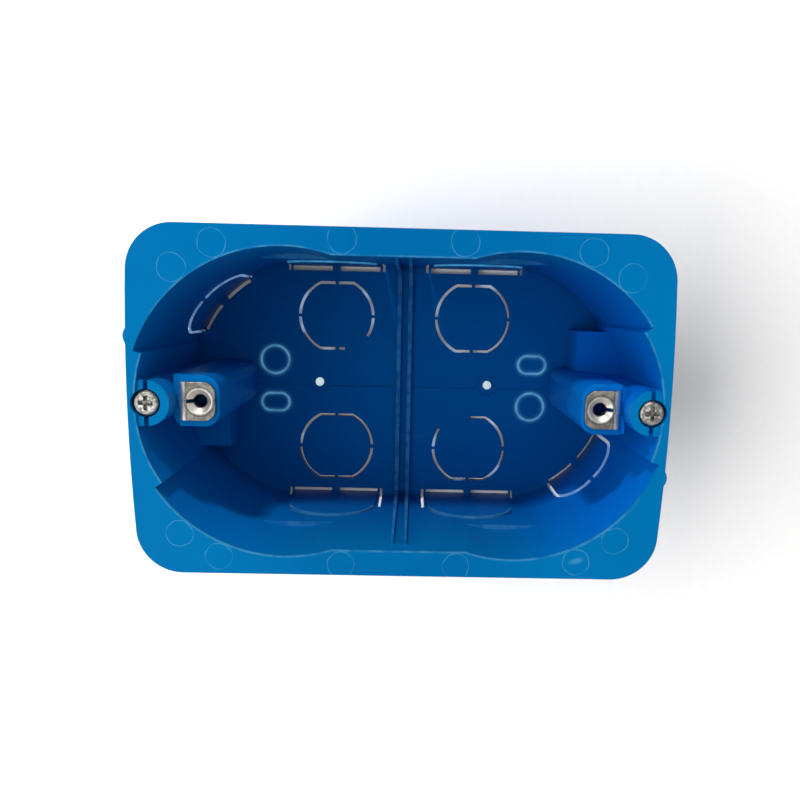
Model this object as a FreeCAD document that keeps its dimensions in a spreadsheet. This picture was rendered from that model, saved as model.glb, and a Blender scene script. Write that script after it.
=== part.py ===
import FreeCAD, Part
import os

import Sketcher

DOCUMENT_NAME = "flush_back_box"
SHEET_NAME = "dim"

# Driving sizes in millimetres and degrees. The box lies on its back: z is 0 at
# the back and box_depth at the front of the flange. X runs along the long side.
# The right-hand end is described; the left-hand end is the same, turned by 180
# degrees about Z.
SIZES = [
    ("box_depth", 50.0, "back of the box to the front of the flange"),
    ("floor_thickness", 2.0, "floor of the box"),
    ("wall", 1.5, "walls, posts and claw pockets"),
    ("round_offset", 23.75, "centre of each round end from the middle"),
    ("mouth_radius", 31.5, "inside radius of a round end at the front"),
    ("mouth_half_height", 30.0, "half the inside height of the straight sides"),
    ("round_draft", 0.86, "draft of the round walls in degrees"),
    ("ledge_depth", 21.0, "front to the crescent ledges"),
    ("flange_half_length", 55.0, "half length of the flange in the middle"),
    ("flange_end_bow", 0.7, "bow of each short edge"),
    ("flange_half_height", 35.5, "half height of the flange"),
    ("flange_corner", 9.5, "corner radius of the flange"),
    ("flange_thickness", 1.6, "thickness of the flange"),
    ("nub_proud", 0.3, "moulding nub on each short edge"),
    ("nub_y", -13.4, "moulding nub of the right-hand edge from the middle"),
    ("nub_half_width", 2.4, "half width of a moulding nub at its root"),
    ("recess_radius", 29.75, "inside radius of the pushed-in end wall"),
    ("recess_start", -19.5, "first flank of the pushed-in wall in degrees"),
    ("recess_end", 33.3, "second flank of the pushed-in wall in degrees"),
    ("pocket_inner_x", 42.5, "inner face of the claw pocket block"),
    ("pocket_side_y", 15.1, "side of the claw pocket block"),
    ("pocket_height", 15.0, "top of the claw pocket block above the back"),
    ("post_inner_x", 37.9, "inner face of the post"),
    ("post_outer_x", 47.6, "outer face of the post"),
    ("post_half_width", 5.35, "half width of the post"),
    ("post_corner", 3.2, "rounded inner corners of the post"),
    ("post_outer_corner", 1.8, "rounded outer corner beside the claw pocket"),
    ("post_step_depth", 1.2, "step in the post outside the insert"),
    ("post_top_depth", 5.6, "front to the top of the post"),
    ("post_core_depth", 17.0, "front to the top of the post's hollow"),
    ("screw_x", 51.5, "claw screw from the middle"),
    ("channel_radius", 3.2, "channel that the claw's eye runs in"),
    ("channel_flare", 1.0, "bevel at the channel's outer mouth"),
    ("boss_top_depth", 0.7, "front to the top of the screw boss"),
    ("boss_depth", 8.0, "front to the underside of the screw boss"),
    ("boss_slit", 0.9, "slit on both sides of the screw head"),
    ("boss_slit_depth", 6.0, "depth of the slits"),
    ("head_clearance", 0.3, "gap around the screw head"),
    ("screw_clearance", 0.25, "gap around the screw in its boss"),
    ("head_radius", 2.6, "claw screw head"),
    ("head_height", 2.0, "claw screw head"),
    ("head_bevel", 0.4, "bevel of the screw head"),
    ("head_top_depth", 0.5, "front to the top of the screw head"),
    ("drive_width", 0.75, "cross recess in the screw head"),
    ("drive_length", 2.9, "cross recess in the screw head"),
    ("drive_depth", 1.0, "cross recess in the screw head"),
    ("screw_radius", 1.5, "claw screw"),
    ("screw_end", 1.2, "end of the claw screw above the back"),
    ("screw_point", 0.5, "bevel at the end of the screw"),
    ("claw_bottom", 3.0, "lower edge of the claw above the back"),
    ("claw_height", 8.0, "height of the claw's eye"),
    ("claw_arm_drop", 1.0, "claw's arm below the top of its eye, between the teeth"),
    ("claw_sheet", 1.0, "thickness of the claw's sheet"),
    ("claw_fit", 0.08, "gap between the claw's eye and the screw"),
    ("claw_gap", 0.3, "gap between the claw's arm and the recess"),
    ("claw_root_angle", 7.2, "start of the arm's inner face in degrees"),
    ("claw_root_outer_angle", 6.4, "start of the arm's outer face in degrees"),
    ("claw_root_far", 1.1, "far end of the arm's root from the screw's axis"),
    ("claw_root_near", 0.4, "near end of the arm's root from the screw's axis"),
    ("claw_tip_angle", 28.5, "end of the claw's arm in degrees"),
    ("claw_tooth", 2.2, "depth of the notch between the claw's teeth"),
    ("claw_tooth_width", 2.6, "width of a claw tooth"),
    ("hole_x", 41.75, "device screw hole from the middle"),
    ("hole_radius", 1.4, "device screw hole"),
    ("collar_radius", 2.15, "collar around the device screw hole"),
    ("collar_length", 1.4, "collar below the insert's plate"),
    ("dish_depth", 1.1, "dish around the device screw hole"),
    ("insert_sheet", 1.2, "thickness of the insert's sheet"),
    ("insert_inner_x", 38.5, "inner edge of the insert"),
    ("insert_outer_x", 46.12, "outer face of the insert's leg"),
    ("insert_half_width", 4.05, "half width of the insert"),
    ("insert_corner", 2.4, "rounded inner corners of the insert"),
    ("insert_leg", 6.5, "leg of the insert below its plate"),
    ("insert_bend", 1.4, "outside radius of the insert's fold"),
    ("insert_slit", 0.75, "slit beside the device screw hole"),
    ("insert_slit_reach", 2.7, "end of the slit from the hole's centre"),
    ("insert_fit", 0.06, "gap between the insert's leg and its slot"),
    ("post_hole_gap", 0.4, "gap around the insert's collar"),
    ("post_hole_depth", 7.5, "hole in the post below the insert"),
    ("rib_gap", 1.8, "gap between the two divider ribs"),
    ("rib_width", 1.0, "width of a divider rib"),
    ("rib_height", 1.2, "height of a divider rib on the floor"),
    ("rib_reach", 1.5, "reach of a divider rib from the wall"),
    ("rib_draft", 0.3, "draft of a divider rib on the wall in degrees"),
    ("rib_top_depth", 4.6, "front to the top of the divider ribs"),
    ("band_width", 2.1, "shallow groove along the middle of the floor"),
    ("band_depth", 0.25, "depth of the groove"),
    ("gate_x", 21.9, "gate mark from the middle"),
    ("gate_recess_radius", 2.7, "recess around the gate mark"),
    ("gate_recess_depth", 0.45, "depth of the recess"),
    ("gate_radius", 1.1, "gate mark"),
    ("gate_height", 0.35, "gate mark above the floor"),
    ("slit", 0.72, "width of the knockout slits"),
    ("floor_knockout_x", 17.55, "floor knockout from the middle"),
    ("floor_knockout_y", 17.1, "floor knockout from the middle"),
    ("floor_knockout_radius", 9.74, "outer edge of the slit"),
    ("floor_knockout_half_height", 8.75, "outer edge of the slit at the flats"),
    ("floor_bridge", 0.75, "bridges of the floor knockouts"),
    ("short_arc_angle", 33.0, "end of the short slit in the closed quarter in degrees"),
    ("short_flat_start", 0.5, "near end of the left upper knockout's extra slit"),
    ("short_flat_end", 2.1, "far end of the left upper knockout's extra slit"),
    ("knockout_step", 0.35, "wall knockouts inward of the wall"),
    ("edge_slit", 1.2, "slit between floor and wall knockout"),
    ("edge_slit_start", 6.5, "first end of the floor slit"),
    ("edge_slit_end", 28.9, "second end of the floor slit"),
    ("edge_bridge", 1.9, "bridge of the floor slit"),
    ("side_knockout_x", 17.5, "wall knockout from the middle"),
    ("side_inner_x", 5.55, "inner side slit of the wall knockout"),
    ("side_inner_top", 15.0, "top of the inner side slit above the back"),
    ("side_outer_x", 29.65, "outer side slit of the wall knockout"),
    ("side_outer_top", 4.2, "top of the outer side slit above the back"),
    ("side_arc_radius", 11.65, "outer edge of the arc slit"),
    ("side_arc_height", 13.0, "centre of the arc slit above the back"),
    ("side_arc_start", 17.0, "outer end of the arc slit in degrees"),
    ("side_arc_end", 165.0, "inner end of the arc slit in degrees"),
    ("side_bridge", 1.0, "bridge of the arc slit"),
    ("corner_direction", -41.6, "corner knockout in degrees"),
    ("corner_half_angle", 16.5, "half of the corner knockout's floor slits"),
    ("corner_bridge_angle", 2.15, "half of the corner knockout's floor bridge"),
    ("corner_half_width", 9.7, "outer edge of the corner knockout's side slits"),
    ("corner_edge_slit", 1.05, "slit between floor and corner knockout"),
    ("corner_top", 20.5, "outer edge of the top slit above the back"),
    ("corner_round", 8.0, "rounded corners of the top slit"),
]

OUTER_RADIUS = "(dim.mouth_radius + dim.wall)"
SHELL_HALF_HEIGHT = "(dim.mouth_half_height + dim.wall)"
FLANGE_BACK = "(dim.box_depth - dim.flange_thickness)"
LEDGE_TOP = "(dim.box_depth - dim.ledge_depth)"
POST_TOP = "(dim.box_depth - dim.post_top_depth)"
BOSS_TOP = "(dim.box_depth - dim.boss_top_depth)"
BOSS_BOTTOM = "(dim.box_depth - dim.boss_depth)"
HEAD_TOP = "(dim.box_depth - dim.head_top_depth)"
HEAD_SEAT = "(dim.box_depth - dim.head_top_depth - dim.head_height)"
INSERT_TOP = f"({POST_TOP} + dim.insert_sheet)"
RECESS_OUTER_RADIUS = "(dim.recess_radius + dim.wall)"
OUTSIDE = "(dim.flange_half_length + dim.wall)"
HALF_TURN = 180.0
CLOSE = 0.01

def fill_sheet(doc):
    """Write every driving size to the sheet, with its alias and its meaning."""
    sheet = doc.addObject("Spreadsheet::Sheet", SHEET_NAME)
    for row, (alias, value, meaning) in enumerate(SIZES, start=1):
        sheet.set(f"A{row}", meaning)
        sheet.set(f"B{row}", str(value))
        sheet.setAlias(f"B{row}", alias)
    doc.recompute()
    return sheet


class PieceBuilder:
    """One sub-part: a body whose features read their sizes from the sheet."""

    def __init__(self, doc, label, turn=0.0):
        self.doc = doc
        self.sheet = doc.getObject(SHEET_NAME)
        self.body = doc.addObject("PartDesign::Body", label)
        self.body.Label = label
        self.planes = {item.Role: item for item in self.body.Origin.OriginFeatures}
        self.prefix = label
        up = FreeCAD.Vector(0, 0, 1)
        self.body.Placement = FreeCAD.Placement(FreeCAD.Vector(), FreeCAD.Rotation(up, turn))

    def number(self, expression):
        """Value of an expression, for the first place of a sketch's points."""
        return float(self.sheet.evalExpression(expression))

    def sketch(self, name, height="0", role="XY_Plane"):
        """Sketch on one of the body's own planes, moved along the plane's normal."""
        sketch = self.body.newObject("Sketcher::SketchObject", f"{self.prefix}_{name}")
        sketch.AttachmentSupport = (self.planes[role], [""])
        sketch.MapMode = "FlatFace"
        sketch.setExpression("AttachmentOffset.Base.z", height)
        return sketch

    def bind_constraint(self, sketch, constraint, expression):
        """Add a constraint and bind its value to an expression."""
        index = sketch.addConstraint(constraint)
        sketch.setExpression(f"Constraints[{index}]", expression)

    def bind_point(self, sketch, edge, end, x, y):
        """Hold one point of an edge at x and y from the sketch's origin."""
        for kind, expression in (("DistanceX", x), ("DistanceY", y)):
            place = self.number(expression)
            self.bind_constraint(
                sketch, Sketcher.Constraint(kind, -1, 1, edge, end, place), expression
            )

    def circle(self, sketch, x, y, radius):
        """Circle with its centre and radius bound to expressions."""
        centre = FreeCAD.Vector(self.number(x), self.number(y), 0)
        size = self.number(radius)
        edge = sketch.addGeometry(Part.Circle(centre, FreeCAD.Vector(0, 0, 1), size))
        self.bind_point(sketch, edge, 3, x, y)
        self.bind_constraint(sketch, Sketcher.Constraint("Radius", edge, size), radius)

    def loop(self, sketch, corners):
        """Closed outline. A corner is (x, y) before a straight edge, or
        (x, y, radius, side) before an arc that bulges to the left (1) or right (-1)."""
        points = [
            FreeCAD.Vector(self.number(corner[0]), self.number(corner[1]), 0)
            for corner in corners
        ]
        count = len(corners)
        edges = []
        for index, corner in enumerate(corners):
            start, end = points[index], points[(index + 1) % count]
            if len(corner) == 2:
                edges.append(sketch.addGeometry(Part.LineSegment(start, end)))
                continue
            bulge = arc_middle(start, end, self.number(corner[2]), corner[3])
            edges.append(sketch.addGeometry(Part.Arc(start, bulge, end)))
        for index, corner in enumerate(corners):
            first, last = arc_ends(sketch, edges[index], points[index])
            after = edges[(index + 1) % count]
            after_first, _ = arc_ends(sketch, after, points[(index + 1) % count])
            sketch.addConstraint(
                Sketcher.Constraint("Coincident", edges[index], last, after, after_first)
            )
            self.bind_point(sketch, edges[index], first, corner[0], corner[1])
            if len(corner) > 2:
                radius = Sketcher.Constraint("Radius", edges[index], self.number(corner[2]))
                self.bind_constraint(sketch, radius, corner[2])

    def rectangle(self, sketch, x_low, x_high, y_low, y_high):
        """Rectangle between two x and two y expressions."""
        corners = [(x_low, y_low), (x_high, y_low), (x_high, y_high), (x_low, y_high)]
        self.loop(sketch, corners)

    def feature(self, kind, name, sketch, length, **options):
        """Pad or pocket of a sketch, which has to change the body's volume."""
        self.doc.recompute()
        before = self.volume()
        item = self.body.newObject(f"PartDesign::{kind}", f"{self.prefix}_{name}")
        item.Profile = sketch
        item.setExpression("Length", length)
        item.Reversed = options.get("reverse", False)
        if "taper" in options:
            item.setExpression("TaperAngle", options["taper"])
        self.doc.recompute()
        grows = self.volume() > before
        if grows != (kind == "Pad"):
            raise ValueError(f"{item.Name} leaves the volume as it was")
        return item

    def pad(self, name, sketch, length, **options):
        """Pad of a sketch, upwards from an XY sketch."""
        return self.feature("Pad", name, sketch, length, **options)

    def pocket(self, name, sketch, length, **options):
        """Pocket of a sketch, downwards from an XY sketch."""
        return self.feature("Pocket", name, sketch, length, **options)

    def turned(self, name, originals):
        """The same features at the other end, turned by half a turn about Z."""
        self.doc.recompute()
        pattern = self.body.newObject("PartDesign::PolarPattern", f"{self.prefix}_{name}")
        pattern.Originals = originals
        pattern.Axis = (self.planes["Z_Axis"], [""])
        pattern.Angle = 2 * HALF_TURN
        pattern.Occurrences = 2
        self.body.Tip = pattern
        self.doc.recompute()
        return pattern

    def edge_feature(self, kind, name, size_property, size, wanted):
        """Fillet or chamfer of the edges that the test picks."""
        self.doc.recompute()
        base = self.body.Tip
        names = [
            f"Edge{index}"
            for index, edge in enumerate(base.Shape.Edges, start=1)
            if wanted(edge)
        ]
        item = self.body.newObject(f"PartDesign::{kind}", f"{self.prefix}_{name}")
        item.Base = (base, names)
        item.setExpression(size_property, size)
        self.doc.recompute()
        return item

    def volume(self):
        """Volume of the body so far."""
        shape = self.body.Shape
        return 0.0 if shape.isNull() else shape.Volume


def arc_middle(start, end, radius, side):
    """Middle point of the shorter arc between two points."""
    chord = end.sub(start)
    half = chord.Length / 2
    depth = radius - (radius**2 - half**2) ** 0.5
    left = FreeCAD.Vector(-chord.y, chord.x, 0).normalize()
    return start.add(end).multiply(0.5).add(left.multiply(side * depth))


def arc_ends(sketch, edge, start):
    """Numbers of an edge's first and last point, in the direction of the outline."""
    begins_here = sketch.getPoint(edge, 1).distanceToPoint(start) < CLOSE
    return (1, 2) if begins_here else (2, 1)


def signed(sign, expression):
    """Expression on the right (1) or the left (-1)."""
    return f"({sign} * ({expression}))"


def around(radius, angle):
    """Point on a circle about the centre of the right-hand round end."""
    return (f"dim.round_offset + {radius} * cos({angle})", f"{radius} * sin({angle})")


def add_outer_form(box):
    """Outside of the box: two drafted round ends, a straight middle and flat sides."""
    round_end = box.sketch("round_end", FLANGE_BACK)
    box.circle(round_end, "dim.round_offset", "0", OUTER_RADIUS)
    end = box.pad("round_end_pad", round_end, FLANGE_BACK, reverse=True,
                  taper="-dim.round_draft")
    box.turned("round_ends", [end])
    middle = box.sketch("middle")
    box.rectangle(middle, "-dim.round_offset", "dim.round_offset",
                  f"-{SHELL_HALF_HEIGHT}", SHELL_HALF_HEIGHT)
    box.pad("middle_pad", middle, FLANGE_BACK)


def add_cavity(box):
    """Inside of the box, with flat long walls below the crescent ledges."""
    inside = "(dim.box_depth - dim.floor_thickness)"
    round_cut = box.sketch("round_cut", "dim.box_depth")
    box.circle(round_cut, "dim.round_offset", "0", "dim.mouth_radius")
    cut = box.pocket("round_cavity", round_cut, inside, taper="-dim.round_draft")
    box.turned("round_cavities", [cut])
    middle = box.sketch("middle_cut", "dim.box_depth")
    box.rectangle(middle, "-dim.round_offset", "dim.round_offset",
                  "-dim.mouth_half_height", "dim.mouth_half_height")
    box.pocket("middle_cavity", middle, inside)
    fill_radius = "(dim.mouth_radius + dim.wall / 4)"
    half_chord = f"sqrt({fill_radius}^2 - dim.mouth_half_height^2)"
    fill = box.sketch("flat_wall")
    for side in (1, -1):
        chord_y = signed(side, "dim.mouth_half_height")
        first = (f"dim.round_offset + {half_chord}", chord_y, fill_radius, -side)
        last = (f"dim.round_offset - {half_chord}", chord_y)
        box.loop(fill, [first, last])
    wall = box.pad("flat_wall_pad", fill, LEDGE_TOP)
    box.turned("flat_walls", [wall])
    strip = box.sketch("flat_outside")
    reach = "(dim.round_offset + dim.mouth_radius)"
    for side in (1, -1):
        box.rectangle(strip, f"-{reach}", reach, signed(side, SHELL_HALF_HEIGHT),
                      signed(side, "dim.mouth_radius + 2 * dim.wall"))
    box.pocket("flat_outsides", strip, f"({LEDGE_TOP} - dim.wall)", reverse=True)


def draw_flange_outline(box, sketch):
    """Outline of the flange: rounded corners and slightly bowed short edges."""
    corner_x = "(dim.flange_half_length - dim.flange_end_bow)"
    corner_y = "(dim.flange_half_height - dim.flange_corner)"
    bow_radius = f"(({corner_y}^2 + dim.flange_end_bow^2) / (2 * dim.flange_end_bow))"
    inner_x = f"({corner_x} - dim.flange_corner)"
    edge_y = "dim.flange_half_height"
    box.loop(sketch, [
        (corner_x, f"-{corner_y}", bow_radius, -1),
        (corner_x, corner_y, "dim.flange_corner", -1),
        (inner_x, edge_y),
        (f"-{inner_x}", edge_y, "dim.flange_corner", -1),
        (f"-{corner_x}", corner_y, bow_radius, -1),
        (f"-{corner_x}", f"-{corner_y}", "dim.flange_corner", -1),
        (f"-{inner_x}", f"-{edge_y}"),
        (inner_x, f"-{edge_y}", "dim.flange_corner", -1),
    ])


def add_flange_plate(box):
    """Flange plate, cut back to the mouth afterwards."""
    outline = box.sketch("flange_outline", "dim.box_depth")
    draw_flange_outline(box, outline)
    box.pad("flange", outline, "dim.flange_thickness", reverse=True)


def trim_ends(box):
    """Cut the end walls back to the flange's outline."""
    around_flange = box.sketch("ends_trim", "dim.box_depth")
    reach_x = "(dim.flange_half_length + 2 * dim.wall)"
    reach_y = "(dim.flange_half_height + 2 * dim.wall)"
    box.rectangle(around_flange, f"-{reach_x}", reach_x, f"-{reach_y}", reach_y)
    draw_flange_outline(box, around_flange)
    box.pocket("ends_trim_cut", around_flange, "dim.box_depth")


def add_end_wall(box):
    """Wall pushed in at each end, with a shallow recess outside for the claw."""
    flank = "(dim.wall / dim.mouth_radius * 180 / pi)"
    mid_radius = "(dim.mouth_radius + dim.wall / 2)"
    wall = box.sketch("end_wall")
    inner_start = around("dim.recess_radius", "dim.recess_start")
    inner_end = around("dim.recess_radius", "dim.recess_end")
    outer_end = around(mid_radius, "dim.recess_end")
    outer_start = around(mid_radius, "dim.recess_start")
    box.loop(wall, [
        (*inner_start, "dim.recess_radius", -1),
        inner_end,
        (*outer_end, mid_radius, 1),
        outer_start,
    ])
    pushed = box.pad("end_wall_pad", wall, "dim.box_depth")
    recess = box.sketch("claw_recess")
    first = f"(dim.recess_start + {flank})"
    last = f"(dim.recess_end - {flank})"
    beyond = "(dim.mouth_radius + 2 * dim.wall)"
    box.loop(recess, [
        (*around(RECESS_OUTER_RADIUS, first), RECESS_OUTER_RADIUS, -1),
        around(RECESS_OUTER_RADIUS, last),
        (*around(beyond, last), beyond, 1),
        around(beyond, first),
    ])
    cut = box.pocket("claw_recess_cut", recess, FLANGE_BACK, reverse=True)
    return [pushed, cut]


def add_claw_pocket(box):
    """Low block inside with a deeper pocket outside, beside the screw."""
    block = box.sketch("pocket_block")
    mid_radius = "(dim.recess_radius + dim.wall / 2)"
    side_x = f"dim.round_offset + sqrt({mid_radius}^2 - dim.pocket_side_y^2)"
    box.loop(block, [
        ("dim.pocket_inner_x", "0"),
        (f"dim.round_offset + {mid_radius}", "0", mid_radius, -1),
        (side_x, "dim.pocket_side_y"),
        ("dim.pocket_inner_x", "dim.pocket_side_y"),
    ])
    return box.pad("pocket_block_pad", block, "dim.pocket_height")


def cut_claw_pocket(box):
    """Deeper pocket, open at the back, outwards and to the screw's channel."""
    pocket = box.sketch("pocket")
    open_x = "(dim.screw_x - dim.wall)"
    box.loop(pocket, [
        ("dim.pocket_inner_x + dim.wall", "dim.post_half_width"),
        (open_x, "dim.post_half_width"),
        (open_x, "dim.channel_radius / 2"),
        (OUTSIDE, "dim.channel_radius / 2"),
        (OUTSIDE, "dim.pocket_side_y - dim.wall"),
        ("dim.pocket_inner_x + dim.wall", "dim.pocket_side_y - dim.wall"),
    ])
    return box.pocket("pocket_cut", pocket, "(dim.pocket_height - dim.wall)", reverse=True)


def add_post(box):
    """Post under the device screw insert, rounded towards the middle."""
    post = box.sketch("post")
    straight_y = "(dim.post_half_width - dim.post_corner)"
    straight_x = "dim.post_inner_x + dim.post_corner"
    outer_corner = "dim.post_outer_corner"
    box.loop(post, [
        ("dim.post_outer_x", "-dim.post_half_width"),
        ("dim.post_outer_x", f"dim.post_half_width - {outer_corner}", outer_corner, -1),
        (f"dim.post_outer_x - {outer_corner}", "dim.post_half_width"),
        (straight_x, "dim.post_half_width", "dim.post_corner", -1),
        ("dim.post_inner_x", straight_y),
        ("dim.post_inner_x", f"-{straight_y}", "dim.post_corner", -1),
        (straight_x, "-dim.post_half_width"),
    ])
    pad = box.pad("post_pad", post, POST_TOP)
    step = box.sketch("post_step", POST_TOP)
    box.rectangle(step, "dim.insert_outer_x + dim.insert_fit", "dim.post_outer_x + dim.wall",
                  "-dim.post_half_width - dim.wall", "dim.post_half_width + dim.wall")
    return [pad, box.pocket("post_step_cut", step, "dim.post_step_depth")]


def cut_post(box):
    """Hollow of the post from the back, and its hole and slot for the insert."""
    hollow = box.sketch("post_hollow")
    half_width = "(dim.post_half_width - dim.wall)"
    corner = "(dim.post_corner - dim.wall)"
    low_x = "(dim.post_inner_x + dim.wall)"
    high_x = "(dim.post_outer_x - dim.wall)"
    box.loop(hollow, [
        (high_x, f"-{half_width}"),
        (high_x, half_width),
        (f"{low_x} + {corner}", half_width, corner, -1),
        (low_x, f"{half_width} - {corner}"),
        (low_x, f"{corner} - {half_width}", corner, -1),
        (f"{low_x} + {corner}", f"-{half_width}"),
    ])
    core = box.pocket("post_hollow_cut", hollow, "(dim.box_depth - dim.post_core_depth)",
                      reverse=True)
    hole = box.sketch("post_hole", POST_TOP)
    box.circle(hole, "dim.hole_x", "0", "dim.collar_radius + dim.post_hole_gap")
    bore = box.pocket("post_hole_cut", hole, "dim.post_hole_depth")
    slot = box.sketch("leg_slot", POST_TOP)
    box.rectangle(slot, "dim.insert_outer_x - dim.insert_sheet - dim.insert_fit",
                  "dim.insert_outer_x + dim.insert_fit",
                  "-dim.insert_half_width - dim.insert_fit",
                  "dim.insert_half_width + dim.insert_fit")
    leg = box.pocket("leg_slot_cut", slot, "(dim.insert_leg + dim.insert_fit)")
    return [core, bore, leg]


def add_screw_boss(box):
    """Half-round pipe around the claw screw, between the post and the end wall."""
    pipe = box.sketch("pipe")
    outer = "(dim.channel_radius + dim.wall)"
    into_wall = "(dim.round_offset + dim.recess_radius + dim.wall / 2)"
    box.loop(pipe, [
        (into_wall, f"-{outer}"),
        (into_wall, outer),
        ("dim.screw_x", outer, outer, -1),
        (f"dim.screw_x - {outer}", "0", outer, -1),
        ("dim.screw_x", f"-{outer}"),
    ])
    return box.pad("pipe_pad", pipe, BOSS_TOP)


def cut_screw_boss(box):
    """Channel for the claw's eye, bevelled at its mouth, and the screw's seat."""
    channel = box.sketch("channel")
    mouth_x = f"(dim.round_offset + {RECESS_OUTER_RADIUS} - dim.channel_flare / 2)"
    flared = "(dim.channel_radius + dim.channel_flare)"
    near_x = f"({mouth_x} - dim.channel_flare)"
    radius = "dim.channel_radius"
    box.loop(channel, [
        ("dim.screw_x", f"-{radius}"),
        (near_x, f"-{radius}"),
        (mouth_x, f"-{flared}"),
        (OUTSIDE, f"-{flared}"),
        (OUTSIDE, flared),
        (mouth_x, flared),
        (near_x, radius),
        ("dim.screw_x", radius, radius, -1),
        (f"dim.screw_x - {radius}", "0", radius, -1),
    ])
    run = box.pocket("channel_cut", channel, BOSS_BOTTOM, reverse=True)
    seat = box.sketch("head_recess", HEAD_SEAT)
    box.circle(seat, "dim.screw_x", "0", "dim.head_radius + dim.head_clearance")
    recess = box.pocket("head_recess_cut", seat, "(dim.head_top_depth + dim.head_height)",
                        reverse=True)
    bore = box.sketch("screw_hole", BOSS_BOTTOM)
    box.circle(bore, "dim.screw_x", "0", "dim.screw_radius + dim.screw_clearance")
    hole = box.pocket("screw_hole_cut", bore, "dim.boss_depth", reverse=True)
    slits = box.sketch("boss_slits", "dim.box_depth")
    reach = "(dim.channel_radius + dim.wall + dim.boss_slit)"
    box.rectangle(slits, "dim.screw_x - dim.boss_slit / 2", "dim.screw_x + dim.boss_slit / 2",
                  f"-{reach}", reach)
    slit = box.pocket("boss_slit_cut", slits, "dim.boss_slit_depth")
    return [run, recess, hole, slit]


def add_ends(box):
    """Both ends: the right-hand features, then the same turned by half a turn."""
    features = add_end_wall(box)
    features.append(add_claw_pocket(box))
    features.extend(add_post(box))
    features.append(add_screw_boss(box))
    features.append(cut_claw_pocket(box))
    features.extend(cut_post(box))
    features.extend(cut_screw_boss(box))
    box.turned("ends", features)


def add_divider_ribs(box):
    """Pair of ribs across the floor and up the long walls, for a divider."""
    inner = "(dim.rib_gap / 2)"
    outer = "(dim.rib_gap / 2 + dim.rib_width)"
    floor_ribs = box.sketch("floor_ribs", "dim.floor_thickness / 2")
    wall_ribs = box.sketch("wall_ribs", "dim.floor_thickness / 2")
    middle_of_wall = "(dim.mouth_half_height + dim.wall / 2)"
    tip = "(dim.mouth_half_height - dim.rib_reach)"
    for side in (1, -1):
        low, high = signed(side, inner), signed(side, outer)
        box.rectangle(floor_ribs, low, high, f"-{middle_of_wall}", middle_of_wall)
        for face in (1, -1):
            box.rectangle(wall_ribs, low, high, signed(face, tip),
                          signed(face, middle_of_wall))
    box.pad("floor_ribs_pad", floor_ribs, "(dim.floor_thickness / 2 + dim.rib_height)")
    rib_length = "(dim.box_depth - dim.rib_top_depth - dim.floor_thickness / 2)"
    box.pad("wall_ribs_pad", wall_ribs, rib_length, taper="-dim.rib_draft")


def add_floor_marks(box):
    """Shallow groove along the middle of the floor, and a gate mark at each side."""
    rib_side = "(dim.rib_gap / 2 + dim.rib_width)"
    half_band = "(dim.band_width / 2)"
    band = box.sketch("band", "dim.floor_thickness")
    for side in (1, -1):
        box.rectangle(band, signed(side, rib_side), signed(side, "dim.post_inner_x"),
                      f"-{half_band}", half_band)
    box.pocket("band_cut", band, "dim.band_depth")
    gate = box.sketch("gate_recess", "dim.floor_thickness")
    box.circle(gate, "dim.gate_x", "0", "dim.gate_recess_radius")
    recess = box.pocket("gate_recess_cut", gate, "dim.gate_recess_depth")
    nub = box.sketch("gate_nub", "dim.floor_thickness - dim.gate_recess_depth")
    box.circle(nub, "dim.gate_x", "0", "dim.gate_radius")
    dot = box.pad("gate_nub_pad", nub, "(dim.gate_recess_depth + dim.gate_height)")
    box.turned("floor_marks", [recess, dot])


def cut_floor_knockouts(box):
    """Slit discs with flats; one quarter of the right lower one is mostly closed."""
    sketch = box.sketch("floor_knockouts", "dim.floor_thickness")
    quarters = [(1, 1), (-1, 1), (-1, -1), (1, -1)]
    for row in (1, -1):
        for quarter in quarters:
            if (row, quarter) == (-1, (-1, 1)):
                add_short_slit(box, sketch, row, quarter)
            else:
                add_quarter_slit(box, sketch, row, quarter)
    return [box.pocket("floor_knockout_cut", sketch, "dim.floor_thickness")]


def knockout_corner(row, quarter, x, y, *arc):
    """Corner of a floor knockout's slit, from the knockout's own centre."""
    centre_y = signed(row, "dim.floor_knockout_y")
    place_x = f"dim.floor_knockout_x + {signed(quarter[0], x)}"
    return (place_x, f"{centre_y} + {signed(quarter[1], y)}", *arc)


def add_quarter_slit(box, sketch, row, quarter):
    """One quarter of a floor knockout's slit, between two bridges."""
    bridge = "(dim.floor_bridge / 2)"
    outer, outer_flat = "dim.floor_knockout_radius", "dim.floor_knockout_half_height"
    inner, inner_flat = f"({outer} - dim.slit)", f"({outer_flat} - dim.slit)"
    outwards = quarter[0] * quarter[1]
    corners = [
        (bridge, outer_flat),
        (f"sqrt({outer}^2 - {outer_flat}^2)", outer_flat, outer, outwards),
        (f"sqrt({outer}^2 - {bridge}^2)", bridge),
        (f"sqrt({inner}^2 - {bridge}^2)", bridge, inner, -outwards),
        (f"sqrt({inner}^2 - {inner_flat}^2)", inner_flat),
        (bridge, inner_flat),
    ]
    box.loop(sketch, [knockout_corner(row, quarter, *corner) for corner in corners])


def add_short_slit(box, sketch, row, quarter):
    """Short slit in a closed quarter, from the bridge at the side."""
    bridge = "(dim.floor_bridge / 2)"
    outer = "dim.floor_knockout_radius"
    inner = f"({outer} - dim.slit)"
    outwards = quarter[0] * quarter[1]
    angle = "dim.short_arc_angle"
    corners = [
        (f"{outer} * cos({angle})", f"{outer} * sin({angle})", outer, outwards),
        (f"sqrt({outer}^2 - {bridge}^2)", bridge),
        (f"sqrt({inner}^2 - {bridge}^2)", bridge, inner, -outwards),
        (f"{inner} * cos({angle})", f"{inner} * sin({angle})"),
    ]
    box.loop(sketch, [knockout_corner(row, quarter, *corner) for corner in corners])


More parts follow.
